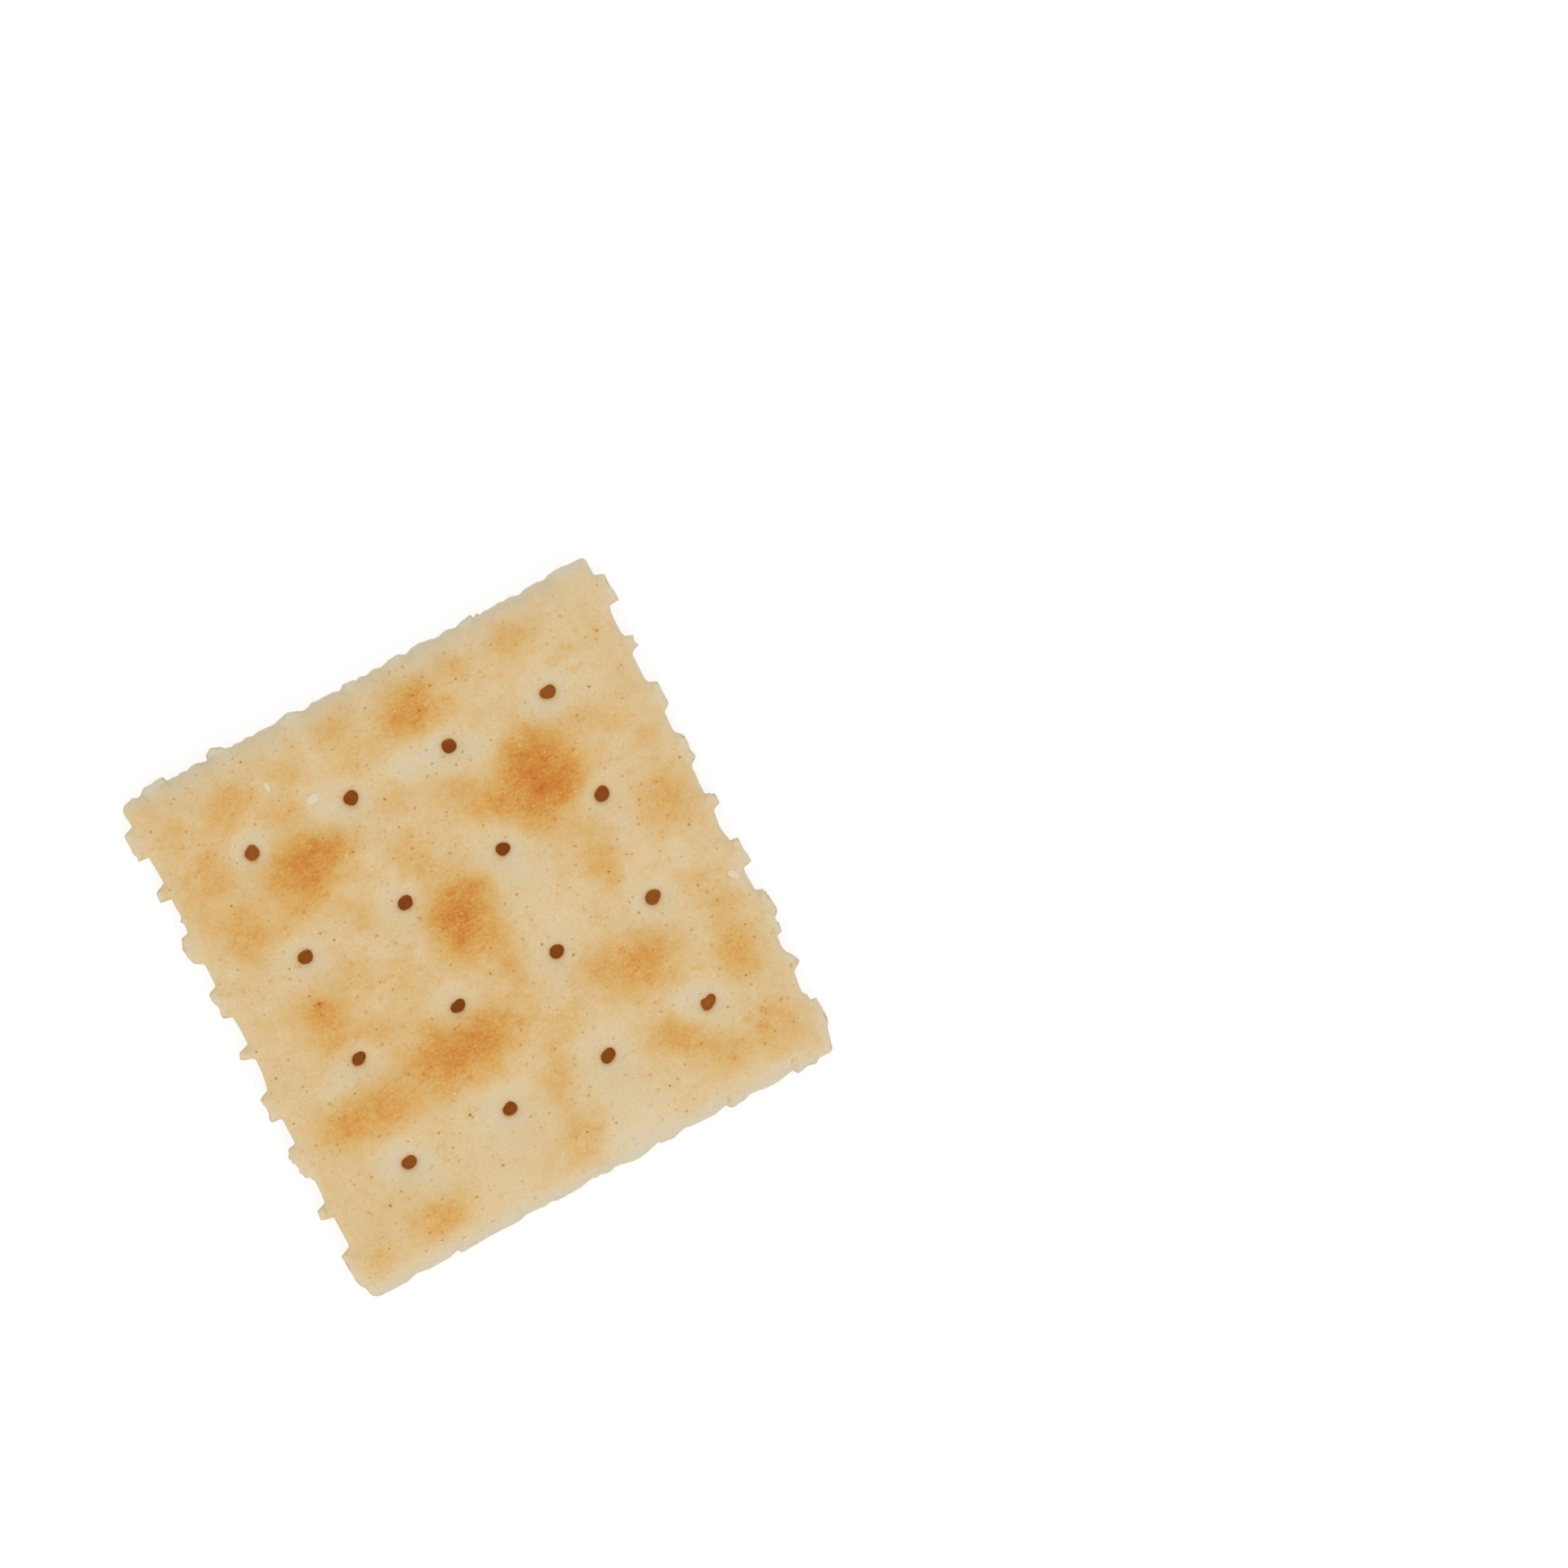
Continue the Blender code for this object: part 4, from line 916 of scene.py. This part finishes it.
# ============================ materials =====================================
class Nodes:
    def __init__(self, name):
        self.mat = bpy.data.materials.new(name)
        self.mat.use_nodes = True
        self.tree = self.mat.node_tree
        self.tree.nodes.clear()
        self.out = self.tree.nodes.new("ShaderNodeOutputMaterial")
        self.shader = self.tree.nodes.new("ShaderNodeBsdfPrincipled")
        self.tree.links.new(self.shader.outputs[0], self.out.inputs[0])

    def new(self, kind, **props):
        node = self.tree.nodes.new(kind)
        for k, v in props.items():
            setattr(node, k, v)
        return node

    def put(self, socket, value):
        if isinstance(value, bpy.types.NodeSocket):
            self.tree.links.new(value, socket)
        else:
            socket.default_value = value

    def attribute(self, name):
        return self.new("ShaderNodeAttribute", attribute_name=name).outputs["Fac"]

    def math(self, op, a, b=0.0, c=None, clamp=False):
        node = self.new("ShaderNodeMath", operation=op, use_clamp=clamp)
        self.put(node.inputs[0], a)
        self.put(node.inputs[1], b)
        if c is not None:
            self.put(node.inputs[2], c)
        return node.outputs[0]

    def ramp(self, value, low, high, to_low=0.0, to_high=1.0, kind="SMOOTHSTEP"):
        node = self.new("ShaderNodeMapRange", interpolation_type=kind)
        for name, v in (("Value", value), ("From Min", low), ("From Max", high), ("To Min", to_low), ("To Max", to_high)):
            self.put(node.inputs[name], v)
        return node.outputs["Result"]

    def noise(self, vector, scale, detail=2.0, rough=0.5, distortion=0.0):
        node = self.new("ShaderNodeTexNoise")
        self.put(node.inputs["Vector"], vector)
        node.inputs["Scale"].default_value = scale
        node.inputs["Detail"].default_value = detail
        node.inputs["Roughness"].default_value = rough
        node.inputs["Distortion"].default_value = distortion
        return node.outputs["Fac"]

    def mix(self, factor, a, b, kind="MIX"):
        node = self.new("ShaderNodeMix", data_type="RGBA", blend_type=kind)
        self.put(node.inputs[0], factor)
        self.put(node.inputs[6], a)
        self.put(node.inputs[7], b)
        return node.outputs[2]

    def scaled(self, vector, by):
        node = self.new("ShaderNodeVectorMath", operation="MULTIPLY")
        self.put(node.inputs[0], vector)
        node.inputs[1].default_value = by
        return node.outputs[0]


# specks: cells per mm, share of the cells that have one, smallest and largest
# radius, faintest and strongest, darkest and lightest tint
SPECK_KINDS = (
    (1.15, 0.62, 0.08, 0.19, 0.06, 0.27, (184, 127, 12), (202, 136, 14)),
    (0.78, 0.42, 0.07, 0.155, 0.23, 0.62, (165, 111, 2), (197, 115, 2)),
    (0.55, 0.28, 0.08, 0.15, 0.40, 0.80, (150, 95, 2), (182, 100, 2)),
    (1.10, 0.30, 0.05, 0.11, 0.10, 0.36, (234, 212, 170), (238, 222, 186)),
)


def crust_material():
    m = Nodes("baked_crust")
    where = m.scaled(m.new("ShaderNodeTexCoord").outputs["Object"], (1000.0, 1000.0, 1000.0))
    brown, hole, torn = m.attribute("brown"), m.attribute("hole"), m.attribute("torn")
    pale, under, deep = m.attribute("pale"), m.attribute("under"), m.attribute("deep")
    tint = m.new("ShaderNodeAttribute", attribute_name="tint").outputs["Color"]

    # browning, with a fine stipple and streaks that grow stronger where it is brown
    brown_b = m.math("MULTIPLY_ADD", m.math("SUBTRACT", brown, 0.25), 1.11, 0.262)
    fine = m.math("SUBTRACT", m.noise(where, 3.3, 3.0, 0.62), 0.5)
    coarse = m.math("SUBTRACT", m.noise(where, 0.75, 3.0, 0.55), 0.5)
    broad = m.math("SUBTRACT", m.noise(where, 0.36, 1.0, 0.5), 0.5)
    streak = m.math("SUBTRACT", m.noise(m.scaled(where, (0.9, 5.5, 1.0)), 1.0, 2.0, 0.6), 0.5)
    toast = m.ramp(brown, 0.25, 0.85)
    b = m.math("ADD", brown_b, m.math("MULTIPLY", fine, m.math("MULTIPLY_ADD", toast, 0.44, 0.28)))
    b = m.math("ADD", b, m.math("MULTIPLY", coarse, 0.39))
    b = m.math("ADD", b, m.math("MULTIPLY", broad, 0.16))
    b = m.math("ADD", b, m.math("MULTIPLY", streak, m.math("MULTIPLY_ADD", toast, 0.34, 0.05)))
    b = m.math("ADD", b, m.math("MULTIPLY", m.ramp(m.noise(m.scaled(where, (0.8, 1.25, 1.0)), 0.95, 3.0, 0.6), 0.54, 0.74), 0.15))   # small toasted blotches
    ramp = m.new("ShaderNodeValToRGB")
    stops = (
        (-0.15, (217, 201, 170)), (0.00, (219, 198, 159)), (0.18, (221, 194, 147)), (0.30, (219, 187, 135)), (0.42, (218, 181, 121)),
        (0.57, (216, 171, 101)), (0.72, (213, 158, 80)), (0.86, (209, 144, 62)), (1.00, (205, 130, 46)), (1.15, (198, 115, 35)), (1.30, (188, 101, 28)),
    )
    while len(ramp.color_ramp.elements) < len(stops):
        ramp.color_ramp.elements.new(0.5)
    for e, (at, colour) in zip(ramp.color_ramp.elements, stops):
        e.position = (at + 0.15) / 1.45
        e.color = paint(*colour)
    m.put(ramp.inputs["Fac"], m.ramp(b, -0.15, 1.30, kind="LINEAR"))
    colour = ramp.outputs["Color"]

    # rim tint with its painted shade, broken layers, toasted lower edge and underside
    rim = m.math("MULTIPLY", pale, m.ramp(m.noise(where, 1.3, 3.0, 0.55), 0.3, 0.7, 0.72, 1.16), clamp=True)
    colour = m.mix(rim, colour, tint)
    crumb = m.mix(m.ramp(m.noise(where, 4.0, 3.0, 0.6), 0.35, 0.7), paint(225, 210, 179), paint(211, 189, 147))
    # the hollows between the broken layers are painted darker: painted shade in the pockets
    crumb = m.mix(m.math("MULTIPLY", deep, m.ramp(m.noise(where, 3.0, 2.0), 0.3, 0.7, 0.5, 1.0)), crumb, paint(188, 152, 104))
    colour = m.mix(m.math("MULTIPLY", torn, 0.88), colour, crumb)
    low = m.mix(m.ramp(m.math("ADD", m.noise(where, 0.55, 3.0, 0.55), m.math("MULTIPLY", brown, 0.25)), 0.40, 0.80), paint(221, 192, 148), paint(200, 152, 98))
    low = m.mix(m.ramp(m.noise(where, 3.0, 3.0, 0.6), 0.55, 0.75, 0.0, 0.5), low, paint(170, 110, 56))
    colour = m.mix(m.math("MULTIPLY", under, 0.28), colour, low)

    # specks: many faint, some brown or orange, a few burnt
    open_skin = m.ramp(m.math("MAXIMUM", m.math("MULTIPLY", pale, 1.3), m.math("MAXIMUM", under, m.attribute("wall"))), 0.30, 0.75, 1.0, 0.0)
    shake = m.new("ShaderNodeTexNoise")
    m.put(shake.inputs["Vector"], where)
    shake.inputs["Scale"].default_value = 5.0
    ragged = m.new("ShaderNodeVectorMath", operation="MULTIPLY_ADD")     # uneven shapes
    m.put(ragged.inputs[0], shake.outputs["Color"])
    ragged.inputs[1].default_value = (0.16, 0.16, 0.0)
    m.put(ragged.inputs[2], m.scaled(where, (0.85, 1.0, 1.0)))
    crowd = m.ramp(m.noise(where, 0.22, 2.0, 0.6), 0.32, 0.68, 0.25, 1.75)     # denser in some places
    for cell, share, small, large, faint, strong, dark, light in SPECK_KINDS:
        cells = m.new("ShaderNodeTexVoronoi", voronoi_dimensions="2D")
        m.put(cells.inputs["Vector"], ragged.outputs[0])
        cells.inputs["Scale"].default_value = cell
        gap = m.math("DIVIDE", cells.outputs["Distance"], cell)      # back to mm
        split = m.new("ShaderNodeSeparateColor")
        m.put(split.inputs[0], cells.outputs["Color"])
        chosen = m.math("MULTIPLY", m.math("LESS_THAN", split.outputs[0], m.math("MULTIPLY", crowd, share)), open_skin)
        radius = m.math("MULTIPLY_ADD", split.outputs[1], large - small, small)
        odds = m.math("POWER", split.outputs[2], 2.0)
        strength = m.math("MULTIPLY", m.math("MULTIPLY_ADD", odds, strong - faint, faint), chosen)
        speck = m.math("MULTIPLY", m.ramp(m.math("DIVIDE", gap, radius), 0.5, 1.2, 1.0, 0.0), strength)
        tint = m.mix(m.math("DIVIDE", split.outputs[0], share, clamp=True), paint(*dark), paint(*light))
        colour = m.mix(speck, colour, tint)
    flat = m.scaled(where, (1.0, 1.0, 0.0))
    top = m.math("SUBTRACT", 1.0, under, clamp=True)
    for rows, tone in ((BROWN_SPECKS, (147, 88, 2)), (ORANGE_SPECKS, (178, 88, 2))):
        most = None
        for x, y, r, strength in rows:
            far = m.new("ShaderNodeVectorMath", operation="DISTANCE")
            m.put(far.inputs[0], flat)
            far.inputs[1].default_value = (x + BOX_SHIFT[0], y + BOX_SHIFT[1], 0.0)
            one = m.ramp(far.outputs["Value"], r * 0.45, r * 1.25, strength, 0.0)
            most = one if most is None else m.math("MAXIMUM", most, one)
        colour = m.mix(m.math("MULTIPLY", most, top), colour, paint(*tone))

    # flour grain
    grain = m.ramp(m.noise(where, 4.6, 3.0, 0.7), 0.32, 0.66, 0.915, 1.0)
    grey = m.new("ShaderNodeCombineColor")
    for k in range(3):
        m.put(grey.inputs[k], grain)
    colour = m.mix(1.0, colour, grey.outputs[0], "MULTIPLY")

    # docking holes: a brown fringe, partly painted shade of the dimples, then the bore, painted dark brown for the
    # shade deep inside it
    colour = m.mix(m.ramp(hole, 0.0, 0.56, 0.0, 0.78, "LINEAR"), colour, paint(199, 150, 85))
    colour = m.mix(m.ramp(hole, 0.50, 0.84), colour, m.mix(brown, (0.495, 0.166, 0.018, 1.0), (0.70, 0.345, 0.072, 1.0)))
    m.put(m.shader.inputs["Base Color"], colour)

    rough = m.ramp(m.math("ADD", m.noise(where, 2.2, 3.0), m.math("MULTIPLY", toast, -0.12)), 0.25, 0.75, 0.70, 0.90)
    m.put(m.shader.inputs["Roughness"], rough)
    m.shader.inputs["Specular IOR Level"].default_value = 0.32

    bump = m.new("ShaderNodeBump")
    bump.inputs["Strength"].default_value = 0.55
    bump.inputs["Distance"].default_value = 0.00004
    grain = m.math("ADD", m.noise(where, 6.5, 3.0, 0.65), m.math("MULTIPLY", m.noise(m.scaled(where, (2.0, 7.0, 3.0)), 1.0, 2.0), 0.5))
    m.put(bump.inputs["Height"], grain)
    m.put(m.shader.inputs["Normal"], bump.outputs["Normal"])
    return m.mat


def salt_material():
    m = Nodes("salt_grain")
    where = m.scaled(m.new("ShaderNodeTexCoord").outputs["Object"], (1000.0, 1000.0, 1000.0))
    tone = m.ramp(m.noise(where, 5.0, 3.0, 0.6), 0.35, 0.7)
    m.put(m.shader.inputs["Base Color"], m.mix(m.attribute("clear"), m.mix(tone, paint(219, 204, 184), paint(214, 198, 172)), paint(223, 203, 156)))
    m.put(m.shader.inputs["Roughness"], m.ramp(m.noise(where, 7.0, 2.0), 0.3, 0.7, 0.28, 0.55))
    m.shader.inputs["Specular IOR Level"].default_value = 0.55
    bump = m.new("ShaderNodeBump")
    bump.inputs["Strength"].default_value = 0.4
    bump.inputs["Distance"].default_value = 0.00003
    m.put(bump.inputs["Height"], m.noise(where, 9.0, 2.0))
    m.put(m.shader.inputs["Normal"], bump.outputs["Normal"])
    return m.mat


def floor_material():
    m = Nodes("studio_floor")
    where = m.new("ShaderNodeTexCoord").outputs["Object"]
    tone = m.ramp(m.noise(where, 30.0, 2.0), 0.3, 0.7)
    m.put(m.shader.inputs["Base Color"], m.mix(tone, (0.28, 0.28, 0.28, 1.0), (0.29, 0.29, 0.29, 1.0)))
    m.shader.inputs["Emission Color"].default_value = (1.0, 1.0, 1.0, 1.0)
    m.shader.inputs["Emission Strength"].default_value = 0.74      # a glowing table, so shadows stay soft
    m.shader.inputs["Roughness"].default_value = 0.95
    m.shader.inputs["Specular IOR Level"].default_value = 0.0
    return m.mat


# ============================ build =========================================
builder = make_crust()
crust = to_object("crust", builder)
crust.data.materials.append(crust_material())
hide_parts("cracker")
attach(crust, "root" if "root" in frame["bodies"] else sorted(frame["bodies"])[0])


skin = BVHTree.FromPolygons([v.co[:] for v in crust.data.vertices], [p.vertices[:] for p in crust.data.polygons])


def ground(x, y):
    """Height of the skin at a place, in mm."""
    hit = skin.ray_cast(Vector(((x + BOX_SHIFT[0]) * MM, (y + BOX_SHIFT[1]) * MM, 0.02)), Vector((0.0, 0.0, -1.0)))[0]
    return hit.z / MM


salt = make_salt(ground)
salt.data.materials.append(salt_material())
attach(salt, "root" if "root" in frame["bodies"] else sorted(frame["bodies"])[0])

# ============================ studio ========================================
floor_mesh = bpy.data.meshes.new("floor")
bm = bmesh.new()
bmesh.ops.create_circle(bm, cap_ends=True, segments=96, radius=3.0)
bm.to_mesh(floor_mesh)
bm.free()
floor = bpy.data.objects.new("floor", floor_mesh)
floor.location.z = -0.00002
floor_mesh.materials.append(floor_material())
bpy.context.scene.collection.objects.link(floor)

world = bpy.data.worlds.new("studio")
bpy.context.scene.world = world
world.use_nodes = True
tree = world.node_tree
tree.nodes.clear()
out = tree.nodes.new("ShaderNodeOutputWorld")
soft = tree.nodes.new("ShaderNodeBackground")
soft.inputs["Color"].default_value = (1.0, 1.0, 1.0, 1.0)
soft.inputs["Strength"].default_value = 1.0
seen = tree.nodes.new("ShaderNodeBackground")
seen.inputs["Color"].default_value = (1.0, 1.0, 1.0, 1.0)
seen.inputs["Strength"].default_value = 1.0
path = tree.nodes.new("ShaderNodeLightPath")
blend = tree.nodes.new("ShaderNodeMixShader")
tree.links.new(path.outputs["Is Camera Ray"], blend.inputs[0])
tree.links.new(soft.outputs[0], blend.inputs[1])
tree.links.new(seen.outputs[0], blend.inputs[2])
tree.links.new(blend.outputs[0], out.inputs[0])


def area(name, place, size, watts):
    light = bpy.data.lights.new(name, "AREA")
    light.shape = "DISK"
    light.size = size
    light.energy = watts
    obj = bpy.data.objects.new(name, light)
    obj.location = place
    obj.rotation_euler = (-Vector(place)).to_track_quat("-Z", "Y").to_euler()
    bpy.context.scene.collection.objects.link(obj)
    return obj


area("key", (-0.10, -0.62, 0.55), 0.45, 0.75)

camera_data = bpy.data.cameras.new("camera")
camera_data.lens = 1000.0
camera_data.sensor_width = 36.0
camera_data.clip_start, camera_data.clip_end = 0.05, 20.0
camera = bpy.data.objects.new("camera", camera_data)
camera.location = (0.030755, -0.001780, 0.0035 + 3.982)
camera.rotation_euler = (0.0, 0.0, math.radians(-28.0))
bpy.context.scene.collection.objects.link(camera)
bpy.context.scene.camera = camera
bpy.context.scene.view_settings.view_transform = "Standard"

print("crust", len(crust.data.polygons), "salt", len(salt.data.polygons))
